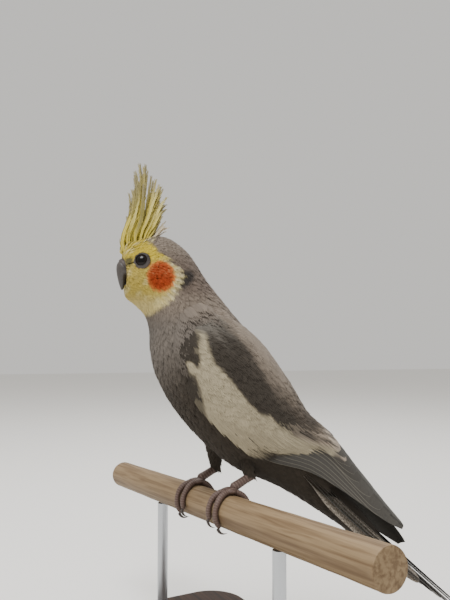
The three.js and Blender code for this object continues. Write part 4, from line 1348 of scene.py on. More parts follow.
FLIGHT_VANE = vane_material("flight_vane", "#6f6a60", 0.03)
TAIL_VANE = vane_material("tail_vane", "#5e5a53", 0.04)
print("made", FLIGHT_VANE.name, "and", TAIL_VANE.name)

# %% [markdown]
# ## Flight feathers and coverts in tiers
# In a folded wing the long primaries lie lowest, the secondaries over them, and rows of coverts cover
# the roots, each tier shorter than the one beneath. Each row below gives the first and the last root and
# tip of a tier on the wing's chart, and its feathers are spread evenly between them. The soft coverts
# are feathers of many locks, which leaves their tips ragged, and the flights are smooth blades.

# %% Wing tiers
FLIGHT_TIERS = [
    # count, first and last root, first and last tip, width in mm, height in mm, tint
    {"count": 7, "root": [(0.42, 0.04), (0.4, 0.5)], "tip": [(1.012, 0.24), (0.86, 0.6)],
     "width": 12, "level": (1.2, 1.6), "late": 0.035, "outline": (0.6, 0.3, 0.12)},
    {"count": 5, "root": [(0.36, 0.42), (0.34, 0.76)], "tip": [(0.82, 0.6), (0.73, 0.8)],
     "width": 12, "level": (1.7, 2.1), "late": 0.01, "outline": (0.6, 0.25, 0.14)},
    {"count": 4, "root": [(0.36, 0.7), (0.32, 0.94)], "tip": [(0.76, 0.58), (0.71, 0.9)],
     "width": 11, "level": (2.1, 2.4), "late": 0, "outline": (0.6, 0.25, 0.16), "marked": True},
]
COVERT_TIERS = [
    {"count": 6, "root": [(0.33, 0.05), (0.38, 0.24)], "tip": [(0.6, 0.05), (0.64, 0.2)],
     "width": 7, "level": (1.9, 2.1), "tint": "#3f3932"},
    {"count": 15, "root": [(0.28, 0.04), (0.44, 0.62)], "tip": [(0.53, 0.0), (0.74, 0.58)],
     "width": 8.5, "level": (2.2, 2.5), "late": 0.05},
    {"count": 7, "root": [(0.26, 0.05), (0.46, 0.06)], "tip": [(0.37, -0.06), (0.6, 0.0)],
     "width": 8.5, "level": (2.2, 2.2)},
    {"count": 7, "root": [(0.44, 0.6), (0.42, 0.94)], "tip": [(0.72, 0.62), (0.66, 0.92)],
     "width": 8, "level": (2.4, 2.7)},
]
ROOT_SINK = 1.6
VANE_TILT = 0.9
TIP_SCATTER = 0.012


def between(pair, share):
    return np.array(pair[0]) * (1 - share) + np.array(pair[1]) * share


def wing_spot(side, root, tip, t, across):
    """Chart place of a feather's point: the share t along it and so many mm across."""
    p = root[0] + (tip[0] - root[0]) * t
    middle = root[1] + (tip[1] - root[1]) * t
    ways = steepness(lambda a, b, h: wing_point(side, a, b, 0 * a), p, middle)
    spare = 0.35 * smooth_step(0.88, 1, p)
    q = middle + across * MM / np.linalg.norm(ways[1], axis=-1)
    return p, np.clip(q, -0.09 - spare, 1.02 + spare)


def wing_place(side, root, tip, level, half):
    def place(t, across, up):
        p, q = wing_spot(side, root, tip, t, across)
        crown = 0.6 + 0.4 * np.sqrt(np.sin(math.pi * np.clip(q, 0.02, 0.98)))
        height = level * crown - ROOT_SINK * np.clip(1 - t * 3.3, 0, 1) - VANE_TILT / 2 * across / half
        return wing_point(side, p, q, height + up)
    return place


def tier_lines(tier, draw):
    """Root, tip and height of each feather of a tier. late holds back the tips in its middle."""
    for share in np.linspace(0, 1, tier["count"]):
        root, tip = between(tier["root"], share), between(tier["tip"], share)
        tip[0] += tier.get("late", 0) * math.sin(share * math.pi) + TIP_SCATTER * (draw.random() - 0.5)
        yield root, tip, between(tier["level"], share)


def line_length(place):
    t = np.linspace(0, 1, 20)
    return path_length(place(t, 0 * t, 0 * t))


count = sum(tier["count"] for tier in FLIGHT_TIERS)
print("each wing shows", count, "flight feathers, the foremost", FLIGHT_TIERS[0]["width"], "mm wide")

# %% Flights and coverts
def marked_tint(side, root, tip, width):
    """The wing's own markings, on the innermost flight feathers."""
    def tint(t, x):
        return wing_colour(*wing_spot(side, root, tip, t, x * width / 2))
    return tint


FLIGHT_COLOURS = (FLIGHT_GREY, mix(FLIGHT_GREY, WING_DARK, 0.5), WING_DARK)


def flights(side):
    draw = np.random.default_rng(51)
    for tier, colour in zip(FLIGHT_TIERS, FLIGHT_COLOURS):
        for root, tip, level in tier_lines(tier, draw):
            width = tier["width"] * draw.uniform(0.95, 1.05)
            place = wing_place(side, root, tip, level, width / 2)
            plain = plain_tint(colour * draw.uniform(0.9, 1.1))
            tint = marked_tint(side, root, tip, width) if "marked" in tier else plain
            yield {"place": place, "length": line_length(place), "width": width,
                   "outline": tier["outline"], "tint": tint}


COVERT_FEATHER = feather_shape(13, 0.13, stations=(0, 0.3, 0.6, 0.85, 1))


def wing_coverts(side, name):
    draw = np.random.default_rng(52)
    shape, triangles = COVERT_FEATHER
    along = shape[:, 1]
    points, faces, tints, vane, bake = rows = [[] for _ in range(5)]
    for tier in COVERT_TIERS:
        for root, tip, level in tier_lines(tier, draw):
            width = tier["width"] * draw.uniform(0.92, 1.08)
            place = wing_place(side, root, tip, level, width / 2)
            across = shape[:, 0] * width / 2 * np.minimum(1, 0.6 + along)
            points.append(place(along, across, shape[:, 2] * 0.12 + 0.3 * along ** 2))
            faces.append(triangles + len(faces) * len(shape))
            if "tint" in tier:
                own = linear(tier["tint"])
            else:
                middle = root + (tip - root) * 0.86
                here = wing_colour(*wing_spot(side, root, tip, along, across))
                own = mix(wing_colour(middle[:1], middle[1:])[0], here, 0.7)
            # Darker towards the covered root: painted shade.
            tints.append(own * draw.uniform(0.9, 1.08) * (0.85 + 0.17 * along[:, None]))
            vane.append(np.stack([across + 20 * len(faces), along * 20], -1))
            bake.append(root[::-1] * 0.98 + 0.01 + bake_patch(shape))
    label = f"wing_{name}_coverts"
    mesh = joined_feathers(label, *map(np.concatenate, rows))
    return show(mesh, label, PLUMAGE, [f"wing_{name}"], smooth=False)


for name, side in SIDES.items():
    long_feathers(f"wing_{name}_flights", list(flights(side)), FLIGHT_VANE,
                  [f"wing_{name}"])
    wing_coverts(side, name)

# %% [markdown]
# ## Tail
# Twelve feathers make the tail. The middle pair is the longest and lies on top, and each next pair is
# shorter, further out and one layer down, so that from the side the tail tapers to a point. The outermost
# pair of this bird is finely mottled with pale grey, and turns on edge past its root, so that it shows.

# %% Tail feathers
TAIL_ROOT = np.array([44, 0, 21])
TAIL_LENGTHS = (149, 138, 124, 111, 100, 90)
TAIL_WIDTHS = (10.5, 10, 9.5, 9.5, 9, 8.5)
TAIL_LAYER = 0.95
# Roll of each pair about its own shaft, in degrees: a folded tail is a roof.
TAIL_ROLL = (0, 4, 8, 12, 16, 64)
TAIL_RAISE = (0, 0, 0, 0, 0, 0.6)
TAIL_GREY = linear("#34312d")
TAIL_OUTER = linear("#5b534a")


def tail_place(side, pair):
    layer = (0 if side < 0 else 1) if pair == 0 else pair + 1
    length, width = TAIL_LENGTHS[pair], TAIL_WIDTHS[pair]

    def place(t, across, up):
        middle = 1.1 if pair == 0 else 0.4 + width / 2 + 0.95 * pair + 0.012 * pair * t * length
        droop = 5 * (t * length / TAIL_LENGTHS[0]) ** 2
        free = smooth_step(0.05, 0.3, t)
        roll = np.radians(TAIL_ROLL[pair]) * free
        out = middle + across * np.cos(roll) + up * np.sin(roll)
        rise = up * np.cos(roll) - across * np.sin(roll)
        height = (3 - layer * TAIL_LAYER * (1 - 0.15 * t) + droop + rise - 0.02 * pair * middle
                  + TAIL_RAISE[pair] * free)
        sideways = np.multiply.outer(out * side, [0, 1, 0])
        return placed(TAIL_ROOT + np.multiply.outer(t * length, TAIL_DIRECTION)
                      + np.multiply.outer(height, TAIL_UP) + sideways)
    return place


def tail_feather(side, pair):
    outermost = pair == len(TAIL_LENGTHS) - 1
    return {"place": tail_place(side, pair), "length": TAIL_LENGTHS[pair], "width": TAIL_WIDTHS[pair],
            "outline": (0.7, 0.08, 0.42 - 0.03 * pair), "mottle": 1.0 if outermost else 0.15,
            "tint": plain_tint(TAIL_OUTER if outermost else TAIL_GREY)}


tail = [tail_feather(side, pair) for pair in range(len(TAIL_LENGTHS)) for side in SIDES.values()]
long_feathers("tail_feathers", tail, TAIL_VANE, ["tail"])

# %% [markdown]
# ## Crest
# The crest is a fan of narrow plumes along the crown. The front ones are longest, rise from the
# forehead and curve back at their tips, and the rear ones are short. Each plume is a thin blade along a
# bent line, with loose barbs that leave its shaft at a slant, which is what makes a crest look wispy.

# %% Crest plumes
CREST_GUIDES = np.array([
    # x and z along each guide plume, from its root to its tip, the foremost plume first
    [[-46.9, 126], [-46.7, 129.8], [-46.1, 134], [-45, 138.5], [-43.6, 143], [-41.8, 147.5]],
    [[-46.4, 127.9], [-45.5, 136.3], [-43, 146.5], [-39.6, 154.4], [-38.2, 163.2], [-39.4, 173.5]],
    [[-44.7, 129.4], [-42.6, 138.4], [-39.4, 147.8], [-37.6, 156.1], [-36.4, 165.4], [-37, 174.8]],
    [[-42.4, 130.3], [-39.4, 138.6], [-36, 147.4], [-34.5, 155.2], [-33.5, 164.6], [-32.6, 173.5]],
    [[-39.9, 131.4], [-35.9, 139.2], [-31.9, 148.1], [-29.4, 155.5], [-27.3, 160.3], [-25.8, 165]],
    [[-37.4, 132], [-33.9, 138.3], [-29.8, 145.1], [-27.3, 149.9], [-25.7, 152.6], [-23.7, 154.7]],
    [[-34.3, 132.6], [-31.8, 136.3], [-29.3, 140], [-27.7, 142.7], [-26.7, 144.8], [-25.7, 146.9]],
    [[-31.8, 133.2], [-30.3, 135.4], [-28.2, 137.5], [-26.2, 139.1], [-24.1, 140.2], [-22.1, 140.8]],
])
CREST_WIDTHS = (1.3, 1.3, 1.4, 1.4, 1.4, 1.3, 1.2, 1)
CREST_COUNT = 104
# One plume in so many stays short and fills the crest's base.
CREST_SHORT = 3
SHORT_REACH = (0.28, 0.5)
FULL_REACH = (0.72, 1.0)
ROOT_SUNK = 2.6
DARK_SHARE = 0.36
# Roots lie up to so many mm beside the middle of the crown, whose section has this radius.
ROOT_SPREAD = 6.5
CROWN_RADIUS = 13
CREST_YELLOW = linear("#bdab3c")
CREST_PALE = linear("#dad08c")
CREST_OLIVE = linear("#7c7238")
CREST_TIP = linear("#8d8468")
CREST_REAR = linear("#cdbfa6")


def crest_line(line, turn):
    """Place function of a plume along a line of points, turned about the upright."""
    across_way = np.array([math.sin(turn), math.cos(turn), 0])
    last = len(line) - 1

    def place(t, across, up):
        share = np.clip(np.asarray(t, float), 0, 1) * last
        along = unit(smooth_row(line, share + 0.02) - smooth_row(line, share - 0.02))
        face = unit(np.cross(along, across_way))
        return placed(smooth_row(line, share) + across[..., None] * across_way + up[..., None] * face)
    return place


def crest_tint(share, olive, pale):
    """Yellow at the root, olive streaks in the middle, greyer tips, and cream on the rearmost."""
    def tint(t, x):
        colour = mix(np.tile(CREST_YELLOW, (len(t), 1)), CREST_OLIVE, olive * smooth_step(0.08, 0.4, t))
        colour = mix(colour, CREST_PALE, pale * smooth_step(0.15, 0.6, t))
        colour = mix(colour, CREST_TIP, 0.75 * smooth_step(0.55, 1, t))
        return mix(colour, CREST_REAR, smooth_step(0.8, 0.95, share))
    return tint


guide = CREST_GUIDES[1]
print("the longest guide plume is", round(path_length(guide * MM)), "mm long")

# %% Growing the plumes
def crest_plumes():
    draw = np.random.default_rng(7)
    made = []
    for k in range(CREST_COUNT):
        share = k / (CREST_COUNT - 1)
        guide = smooth_row(CREST_GUIDES, np.array(share * (len(CREST_GUIDES) - 1)))
        side = -1 if k % 2 else 1
        step = np.linspace(0, 1, len(guide))
        line = np.stack([guide[:, 0], 0 * step, guide[:, 1]], -1)
        reach = SHORT_REACH if k % CREST_SHORT == 1 else FULL_REACH
        line = line[0] + (line - line[0]) * draw.uniform(*reach)
        line[:, 0] += draw.uniform(-0.5, 0.5) + draw.normal(0, 0.6) * step ** 2
        aside = ROOT_SPREAD * draw.random()
        line[:, 1] = side * aside * (1 - step) ** 1.6 + draw.normal(0, 0.9) * step
        line[:, 2] -= aside ** 2 / (2 * CROWN_RADIUS) * (1 - step)
        line[0, 0] += ROOT_SUNK
        line[0, 2] -= 0.5
        dark = draw.random() < DARK_SHARE
        olive, pale = (0.95, 0) if dark else (draw.uniform(0, 0.35), draw.uniform(0, 0.6))
        tint = crest_tint(share, olive, pale)
        place = crest_line(line, side * draw.uniform(0.5, 1.45))
        made.append({"place": place, "length": line_length(place), "outline": (0.5, 0.08, 0.75),
                     "width": float(np.interp(share, np.linspace(0, 1, len(CREST_WIDTHS)), CREST_WIDTHS)),
                     "thickness": 0.14, "shaft": 0.16, "tint": tint})
    return made


CREST_VANE = vane_material("crest_plume", "#d8cd80", 0.03, barb_mm=0.35)
plumes = crest_plumes()
long_feathers("crest_plumes", plumes, CREST_VANE, ["head"])

# %% Loose barbs of the crest
BARBS_PER_SIDE = 18
BARB_LENGTH = 6.5
BARB_WIDTH = 0.24


def crest_barbs():
    draw = np.random.default_rng(8)
    lock, triangles = lock_shape(4, LOCK_STATIONS)
    x, along, w = lock.T
    points, faces, tints, vane, bake = rows = [[] for _ in range(5)]
    for k, plume in enumerate(plumes):
        for j in range(2 * BARBS_PER_SIDE):
            side = -1 if j % 2 else 1
            start = 0.12 + 0.86 * (j // 2) / BARBS_PER_SIDE + draw.uniform(-0.01, 0.01)
            reach = BARB_LENGTH * draw.uniform(0.7, 1.15) * (1 - 0.45 * start)
            reach *= min(1, plume["length"] / 26)
            slant = draw.uniform(0.14, 0.36)
            t = start + along * reach * math.cos(slant) / plume["length"]
            out = side * (0.15 + along * reach * math.sin(slant) * (1 - 0.35 * along))
            across = out + x * BARB_WIDTH / 2
            points.append(plume["place"](t, across, w * 0.06 + draw.uniform(-0.25, 0.25) * along))
            faces.append(triangles + len(faces) * len(lock))
            tints.append(np.clip(plume["tint"](np.clip(t, 0, 1), x) * draw.uniform(0.85, 1.12), 0, 1))
            vane.append(np.stack([across + 3 * j, along * reach], -1))
            bake.append(np.array([(k + 0.5) / len(plumes), start]) * 0.98 + 0.01 + bake_patch(lock))
    mesh = joined_feathers("crest_barbs", *map(np.concatenate, rows))
    return show(mesh, "crest_barbs", PLUMAGE, ["head"], smooth=False)


crest_barbs()

# %% [markdown]
# ## Bill
# The upper bill hooks down over the short lower one. Both are horn: layers of keratin that grow from
# the root and wear at the edges, dull grey with faint growth lines. The shape is a row of ovals, each
# with its own centre, tilt, height and width, and a smooth curve runs through them. The cere, a cushion
# of skin over the root, holds the nostrils.

# %% Bill shapes
BILL_UPPER = np.array([
    # centre x and z, up x and z, half height, half width
    [-41.3, 119.6, -0.45, 0.89, 5.6, 4.7],
    [-45.2, 119, -0.6, 0.8, 5, 4.5],
    [-46.3, 116.4, -0.93, 0.37, 2.8, 3.5],
    [-46.1, 112.7, -1, 0.05, 1.8, 2.3],
    [-46.1, 109, -0.95, -0.3, 0.5, 0.6],
])
BILL_LOWER = np.array([
    [-38.8, 113.7, -0.5, 0.86, 3, 3.7],
    [-42.6, 112.3, -0.75, 0.66, 1.9, 3],
    [-44, 111.4, -0.9, 0.44, 0.8, 1.8],
])
# How far round the bill the cere reaches in radians, and the heights between which the horn darkens
# downwards with painted shade.
CERE_REACH = 3.3
HORN_SHADE_HEIGHTS = (109, 123)


def bill_point(rows, v, angle, grow=0.0):
    x, z, up_x, up_z, high, wide = np.moveaxis(smooth_row(rows, v * (len(rows) - 1)), -1, 0)
    rise = (high + grow) * np.cos(angle) / np.hypot(up_x, up_z)
    return placed(np.stack([x + up_x * rise, -(wide + grow) * np.sin(angle), z + up_z * rise], -1))


def bill_shape(rows, around, along, round_end):
    def place(u, v):
        centre = (bill_point(rows, v, 0 * u) + bill_point(rows, v, 0 * u + math.pi)) / 2
        ring = bill_point(rows, v, u * 2 * math.pi)
        return centre + (ring - centre) * (rounded((v - 1 + round_end) / round_end) * (v > 0))[:, None]
    return mapped_grid(around, along, place)


def cere_shape():
    """The cushion over the bill's root, a closed roll round its upper half."""
    def place(u, v):
        cos, sin = circle(u)
        ends = np.sqrt(np.clip(1 - (2 * v - 1) ** 6, 0, 1))
        return bill_point(BILL_UPPER, 0.12 + 0.1 * ends * cos, (v - 0.5) * CERE_REACH,
                          0.25 + 0.55 * ends * sin)
    return mapped_grid(20, 48, place)


tip = bill_point(BILL_UPPER, np.array([1.0]), np.array([0.0]))[0] / MM
print("the bill's tip is at", tip.round(1), "mm")

# %% Horn and cere
def horn_material():
    """Keratin horn: dull satin grey, darker towards the bottom and the tip as painted shade, growth lines
    about 1.6 mm apart across it.
    """
    material, tree, surface = new_material("bill_horn", Roughness=0.42, Specular_IOR_Level=0.5, IOR=1.54)
    place = add(tree, "TexCoord").outputs["Object"]
    height = add(tree, "SeparateXYZ", {"Vector": place}).outputs["Z"]
    flakes = add(tree, "TexNoise", {"Vector": place, "Scale": 420, "Detail": 4})
    lines = add(tree, "TexWave", {"Vector": place, "Scale": 200, "Distortion": 3, "Detail": 2},
                bands_direction="Z")
    low, high = (PERCH_HEIGHT + end * MM for end in HORN_SHADE_HEIGHTS)
    # Painted shade: the horn darkens downwards, towards the tip and the lower bill.
    share = add(tree, "MapRange", {"Value": height, "From Min": low, "From Max": high})
    base = add(tree, "Mix", {"Factor": share, "A": rgba("#2b2726"), "B": rgba("#433c37")}, data_type="RGBA")
    flaked = add(tree, "Mix", {"Factor": flakes, "A": base, "B": rgba("#403b38")}, data_type="RGBA")
    dress(tree, surface, flaked, lines.outputs["Fac"], 0.12, 0.1)
    return material


HORN = horn_material()
CERE_SKIN = bare_skin_material("cere_skin", ("#594f4b", "#463e3b"), "#332d2b", 0.5)
show_shapes([bill_shape(BILL_UPPER, 40, 60, 0.06)], "beak_upper_horn", HORN, ["beak_upper"])
show_shapes([bill_shape(BILL_LOWER, 32, 24, 0.3)], "beak_lower_horn", HORN, ["beak_lower"])
show_shapes([cere_shape()], "cere", CERE_SKIN, ["beak_upper"])

# %% Nostrils
NOSTRIL_RADIUS = 0.62
NOSTRIL_RIM = 0.26
NOSTRIL_FLATNESS = 0.35
NOSTRIL_SHARE = 0.13
NOSTRIL_ANGLE = 0.5
CERE_HEIGHT = 0.72


def cere_point(p, q, height):
    return bill_point(BILL_UPPER, p, q, CERE_HEIGHT)


def nostril_hole():
    shape = bmesh.new()
    bmesh.ops.create_uvsphere(shape, u_segments=20, v_segments=10, radius=NOSTRIL_RADIUS * MM)
    bmesh.ops.scale(shape, vec=(1, 1, NOSTRIL_FLATNESS), verts=shape.verts)
    return shape


def nostril_rim():
    shape = bmesh.new()
    corners = bmesh.ops.create_circle(shape, segments=10, radius=NOSTRIL_RIM * MM)["verts"]
    bmesh.ops.rotate(shape, verts=corners, cent=(0, 0, 0), matrix=Matrix.Rotation(math.pi / 2, 3, "X"))
    bmesh.ops.translate(shape, verts=corners, vec=(NOSTRIL_RADIUS * MM, 0, 0))
    spin_round(shape, 28)
    return shape


def on_both_sides(made):
    """One shape for each side of the bill, set on the cere."""
    for side in SIDES.values():
        shape = made()
        shape.transform(upright_on(seat_on(cere_point, NOSTRIL_SHARE, NOSTRIL_ANGLE, side, (0, 0, 1))))
        yield shape


# The nostril is a near-black flattened ball in the cere: painted shade inside the opening.
NOSTRIL_PAINTED_SHADE = bare_skin_material("nostril_painted_shade", ("#15100f", "#1c1514"), "#0b0808", 0.5)
show_shapes(on_both_sides(nostril_rim), "nostril_rims", CERE_SKIN, ["beak_upper"])
show_shapes(on_both_sides(nostril_hole), "nostrils", NOSTRIL_PAINTED_SHADE, ["beak_upper"])

# %% [markdown]
# ## Feet
# Parrots have two toes in front and two behind, and close them round a perch. The skin is scaly: broad
# scutes across the top of each toe, small grains below. Each toe is a roll that bends round the perch,
# its outer side stepped at every scute, and a pad joins the toes to the shank. The claws are separate,
# curved and dark.

# %% Toes
GAP = 0.3
TOE_RADIUS = 1.65
TOE_TAPER = 0.28
TOES = [
    # sideways in mm, front or back, angle round the perch where it ends
    (-3.4, 1, 1.95),
    (3.6, 1, 2.3),
    (-3, -1, 1.7),
    (3.4, -1, 2.15),
]
TOE_START = -0.25
# Half sizes of the pad along the perch, forwards and upwards, and its centre's place over the perch.
PALM_RADII = (4.6, 3.6, 1.9)
PALM_AHEAD = -0.6
PALM_UP = 1.8
SCUTE_LENGTH = 1.15
SHANK_SCUTES = 9
CLAW_SWEEP = 0.62


def around_perch(distance, turn, angle, reach):
    return on_perch(distance, turn * reach * np.sin(angle), reach * np.cos(angle))


def toe_shape(side, sideways, turn, end):
    distance = -side * FOOT_SPREAD
    sideways = -side * sideways
    toe_length = (end - TOE_START) * (PERCH_RADIUS + TOE_RADIUS)

    def place(u, v):
        angle = TOE_START + (end - TOE_START) * v
        cos, sin = circle(u)
        scute = (v * toe_length / SCUTE_LENGTH) % 1
        knuckle = 1 + 0.07 * np.cos(2 * math.pi * v * 2.5)
        stepped = 1 + np.clip(sin, 0, 1) * (0.06 * scute - 0.03)
        thick = TOE_RADIUS * (1 - TOE_TAPER * v)
        radius = thick * knuckle * stepped * rounded((v - 0.9) / 0.1) * (v > 0)
        reach = PERCH_RADIUS + GAP * 0.3 + thick
        axial = sideways * (0.35 + 0.65 * np.minimum(1, v * 2)) + cos * radius
        return placed(around_perch(distance + axial, turn, angle, reach + sin * radius))
    return mapped_grid(20, 96, place, (2 * math.pi * TOE_RADIUS, toe_length))


print("toes end", [round(math.degrees(end)) for _, _, end in TOES], "degrees round the perch")

# %% Shank, pad and claws
def shank_shape(side):
    heel = heel_of(side)
    sole = on_perch(-side * FOOT_SPREAD, -1.5, PERCH_RADIUS + GAP + 2.2)
    way = unit(sole - heel)
    across = unit(np.cross(way, PERCH_DIRECTION))
    outward = np.cross(across, way)

    def place(u, v):
        line = heel + np.multiply.outer(v * 1.15 - 0.15, sole - heel)
        cos, sin = circle(u)
        scute = (v * SHANK_SCUTES) % 1
        radius = np.interp(v, [0, 0.3, 0.7, 1], [2.3, 2, 2.1, 2.5]) * (1 + 0.05 * scute)
        radius = radius * rounded((v - 0.8) / 0.2) * (v > 0)
        return placed(line + (cos * radius)[:, None] * across + (sin * radius)[:, None] * outward)
    return mapped_grid(20, 54, place, (4 * math.pi, SHANK_SCUTES * SCUTE_LENGTH))


def palm_shape(side):
    """The pad over the perch where the four toes and the shank meet."""
    def place(u, v):
        lean, around = (v - 0.5) * math.pi, u * 2 * math.pi
        ahead = PALM_AHEAD + PALM_RADII[1] * np.cos(lean) * np.cos(around)
        up = PERCH_RADIUS + PALM_UP + PALM_RADII[2] * np.cos(lean) * np.sin(around)
        return placed(on_perch(-side * FOOT_SPREAD + PALM_RADII[0] * np.sin(lean), ahead, up))
    return mapped_grid(20, 16, place, (2 * math.pi * TOE_RADIUS, 4 * SCUTE_LENGTH))


def claw_shape(side, sideways, turn, end):
    distance = -side * FOOT_SPREAD - side * sideways

    def place(u, v):
        cos, sin = circle(u)
        reach = PERCH_RADIUS + GAP + TOE_RADIUS * 0.75 + 0.7 + 0.9 * np.sin(v * math.pi) - 0.9 * v
        radius = (0.95 - 0.9 * v) * (v > 0)
        return placed(around_perch(distance + cos * radius * 0.8, turn, end - 0.1 + v * CLAW_SWEEP,
                                   reach + sin * radius))
    return mapped_grid(14, 24, place)


print("heels at", [(heel_of(side)).round(1) for side in SIDES.values()], "mm")

# %% Skin and horn of the feet
def scaly_material():
    """Scaly foot skin: brownish pink plates, each with a pale worn rim and painted shade in the fold before
    it, 1.15 mm apart along the toe.
    """
    material, tree, surface = new_material("scaly_foot_skin", Roughness=0.6, Specular_IOR_Level=0.35)
    place = add(tree, "UVMap", uv_map="roll")
    parts = add(tree, "SeparateXYZ", {"Vector": place})
    share = add(tree, "Math", {0: parts.outputs["Y"], 1: 1 / SCUTE_LENGTH}, operation="MULTIPLY")
    plate = add(tree, "Math", {0: share}, operation="FRACT")
    rim = add(tree, "MapRange", {"Value": plate, "From Min": 0.72, "From Max": 0.9})
    fold = add(tree, "MapRange", {"Value": plate, "From Min": 0.16, "From Max": 0.0})
    top = math.pi * TOE_RADIUS
    outer = add(tree, "MapRange", {"Value": parts.outputs["X"], "From Min": top * 1.08,
                                   "From Max": top * 0.92})
    grain = add(tree, "TexNoise", {"Vector": place, "Scale": 1.4, "Detail": 3})
    skin_tone = add(tree, "Mix", {"Factor": grain, "A": rgba("#5f4b43"), "B": rgba("#463731")},
                    data_type="RGBA")
    worn = add(tree, "Math", {0: rim, 1: outer}, operation="MULTIPLY")
    pale = add(tree, "Mix", {"Factor": worn, "A": skin_tone, "B": rgba("#75635a")}, data_type="RGBA")
    # Painted shade in the fold where each plate tucks under the next.
    creased = add(tree, "Math", {0: fold, 1: 0.6}, operation="MULTIPLY")
    colour = add(tree, "Mix", {"Factor": creased, "A": pale, "B": rgba("#35261f")}, data_type="RGBA")
    dress(tree, surface, colour)
    return material


FOOT_SKIN = scaly_material()
CLAW_HORN = bare_skin_material("claw_horn", ("#3d3532", "#57504c"), "#2c2523", 1.2)
for name, side in SIDES.items():
    foot = [f"foot_{name}"]
    toes = [toe_shape(side, *toe) for toe in TOES] + [shank_shape(side), palm_shape(side)]
    show_shapes(toes, f"foot_{name}_scales", FOOT_SKIN, foot, crease=60)
    claws = [claw_shape(side, *toe) for toe in TOES]
    show_shapes(claws, f"claws_{name}", CLAW_HORN, foot)

# %% [markdown]
# ## Perch
# The perch is a peeled, turned stick of pale wood. The grain runs along it, with a small dark knot, and
# claws have dented it a little. Its material stretches noise along the stick's own axis, so a Mapping
# node first turns the object's coordinates to lie along that axis.

# %% Perch wood
PERCH_HALF = 130
PERCH_CHAMFER = 1.2
PERCH_DENT = 0.07
# Shares along the grid and the shares of the half length where they lie: rings crowd at the ends.
PERCH_STATIONS = [(0, -1), (0.001, -1), (0.02, -0.985), (0.98, 0.985), (0.999, 1), (1, 1)]


def perch_shape():
    """A stick whose ends are rounded off and whose side is dented in slow waves."""
    def place(u, v):
        distance = PERCH_HALF * np.interp(v, *np.transpose(PERCH_STATIONS))
        inside = PERCH_HALF - np.abs(distance)
        lost = PERCH_CHAMFER * (1 - rounded(1 - inside / PERCH_CHAMFER))
        angle = u * 2 * math.pi
        waves = np.sin(distance * 0.21 + 2 * np.sin(angle)) * np.sin(distance * 0.083 + 3 * angle)
        dents = PERCH_DENT * (1 + waves) * (inside > 2)
        radius = (PERCH_RADIUS - lost - dents) * ((v > 0) & (v < 1))
        return placed(around_perch(distance, 1, angle, radius))
    return mapped_grid(96, 160, place)


def wood_material(name, direction, pale, dark, streak, knot=None):
    """Bare or varnished wood: fibres along the piece, in streaks about 1.5 mm wide and 40 mm long."""
    material, tree, surface = new_material(name, Roughness=0.62, Specular_IOR_Level=0.3)
    place = add(tree, "TexCoord").outputs["Object"]
    turn = Vector(direction).rotation_difference(Vector((1, 0, 0))).to_euler()
    turned = add(tree, "Mapping", {"Vector": place, "Rotation": turn})
    along = add(tree, "Mapping", {"Vector": turned, "Scale": (25, 650, 650)})
    fibres = add(tree, "TexNoise", {"Vector": along, "Scale": 1, "Detail": 4, "Distortion": 0.4})
    broad = add(tree, "Mapping", {"Vector": turned, "Scale": (9, 130, 130)})
    bands = add(tree, "TexNoise", {"Vector": broad, "Scale": 1, "Detail": 2})
    base = add(tree, "Mix", {"Factor": bands, "A": rgba(dark), "B": rgba(pale)}, data_type="RGBA")
    fine = add(tree, "MapRange", {"Value": fibres, "From Min": 0.35, "From Max": 0.6, "To Min": 1,
                                  "To Max": 0})
    colour = add(tree, "Mix", {"Factor": fine, "A": base, "B": rgba(streak)}, data_type="RGBA")
    if knot is not None:
        away = add(tree, "VectorMath", {0: place, 1: tuple(knot)}, operation="DISTANCE")
        spot = add(tree, "MapRange", {"Value": away.outputs["Value"], "From Min": 0.4 * MM,
                                      "From Max": 1.6 * MM, "To Min": 0.85, "To Max": 0})
        colour = add(tree, "Mix", {"Factor": spot, "A": colour, "B": rgba("#3b2617")}, data_type="RGBA")
    dress(tree, surface, colour, fibres, 0.3, 0.15)
    return material


KNOT = placed(around_perch(np.array(38.0), -1, np.array(1.9), np.array(8.0)))
PERCH_WOOD = wood_material("peeled_perch_wood", PERCH_DIRECTION, "#927c5e", "#776348", "#644f37", KNOT)
show_shapes([perch_shape()], "perch_stick", PERCH_WOOD, ["perch"], crease=50)

# %% [markdown]
# ## Stand
# A museum keeps such a bird on a plain stand: here a dark varnished board with rounded corners and two
# satin steel rods. The board is a box whose upright edges are bevelled first, wide and round, and whose
# rims are then eased by a millimetre. Each rod is turned from one outline, with a low collar where it
# enters the board, and ends under the perch.

# %% Board and rods
BASE_CORNER = 22 * MM
BASE_SIZE = (176 * MM, 112 * MM)
RIM = 1.2 * MM
ROD_RADIUS = 3
ROD_SPREAD = 62
base_low, base_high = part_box("stand_base")


def bevel(shape, edges, offset, segments):
    bmesh.ops.bevel(shape, geom=edges, offset=offset, segments=segments, profile=0.5, affect="EDGES",
                    material=-1, clamp_overlap=True)


def board_shape():
    shape = bmesh.new()
    bmesh.ops.create_cube(shape, size=1)
    height = base_high.z - base_low.z
    bmesh.ops.scale(shape, vec=(*BASE_SIZE, height), verts=shape.verts)
    bmesh.ops.translate(shape, vec=(0, 0, base_low.z + height / 2), verts=shape.verts)
    upright = [e for e in shape.edges if abs(e.verts[0].co.z - e.verts[1].co.z) > height / 2]
    bevel(shape, upright, BASE_CORNER, 14)
    rims = [e for e in shape.edges if abs(e.verts[0].co.z - e.verts[1].co.z) < WELD
            and len(e.link_faces) == 2 and e.calc_face_angle() > 1]
    bevel(shape, rims, RIM, 4)
    angle = math.atan2(PERCH_DIRECTION[1], PERCH_DIRECTION[0])
    bmesh.ops.rotate(shape, verts=shape.verts, cent=(0, 0, 0), matrix=Matrix.Rotation(angle, 3, "Z"))
    return shape


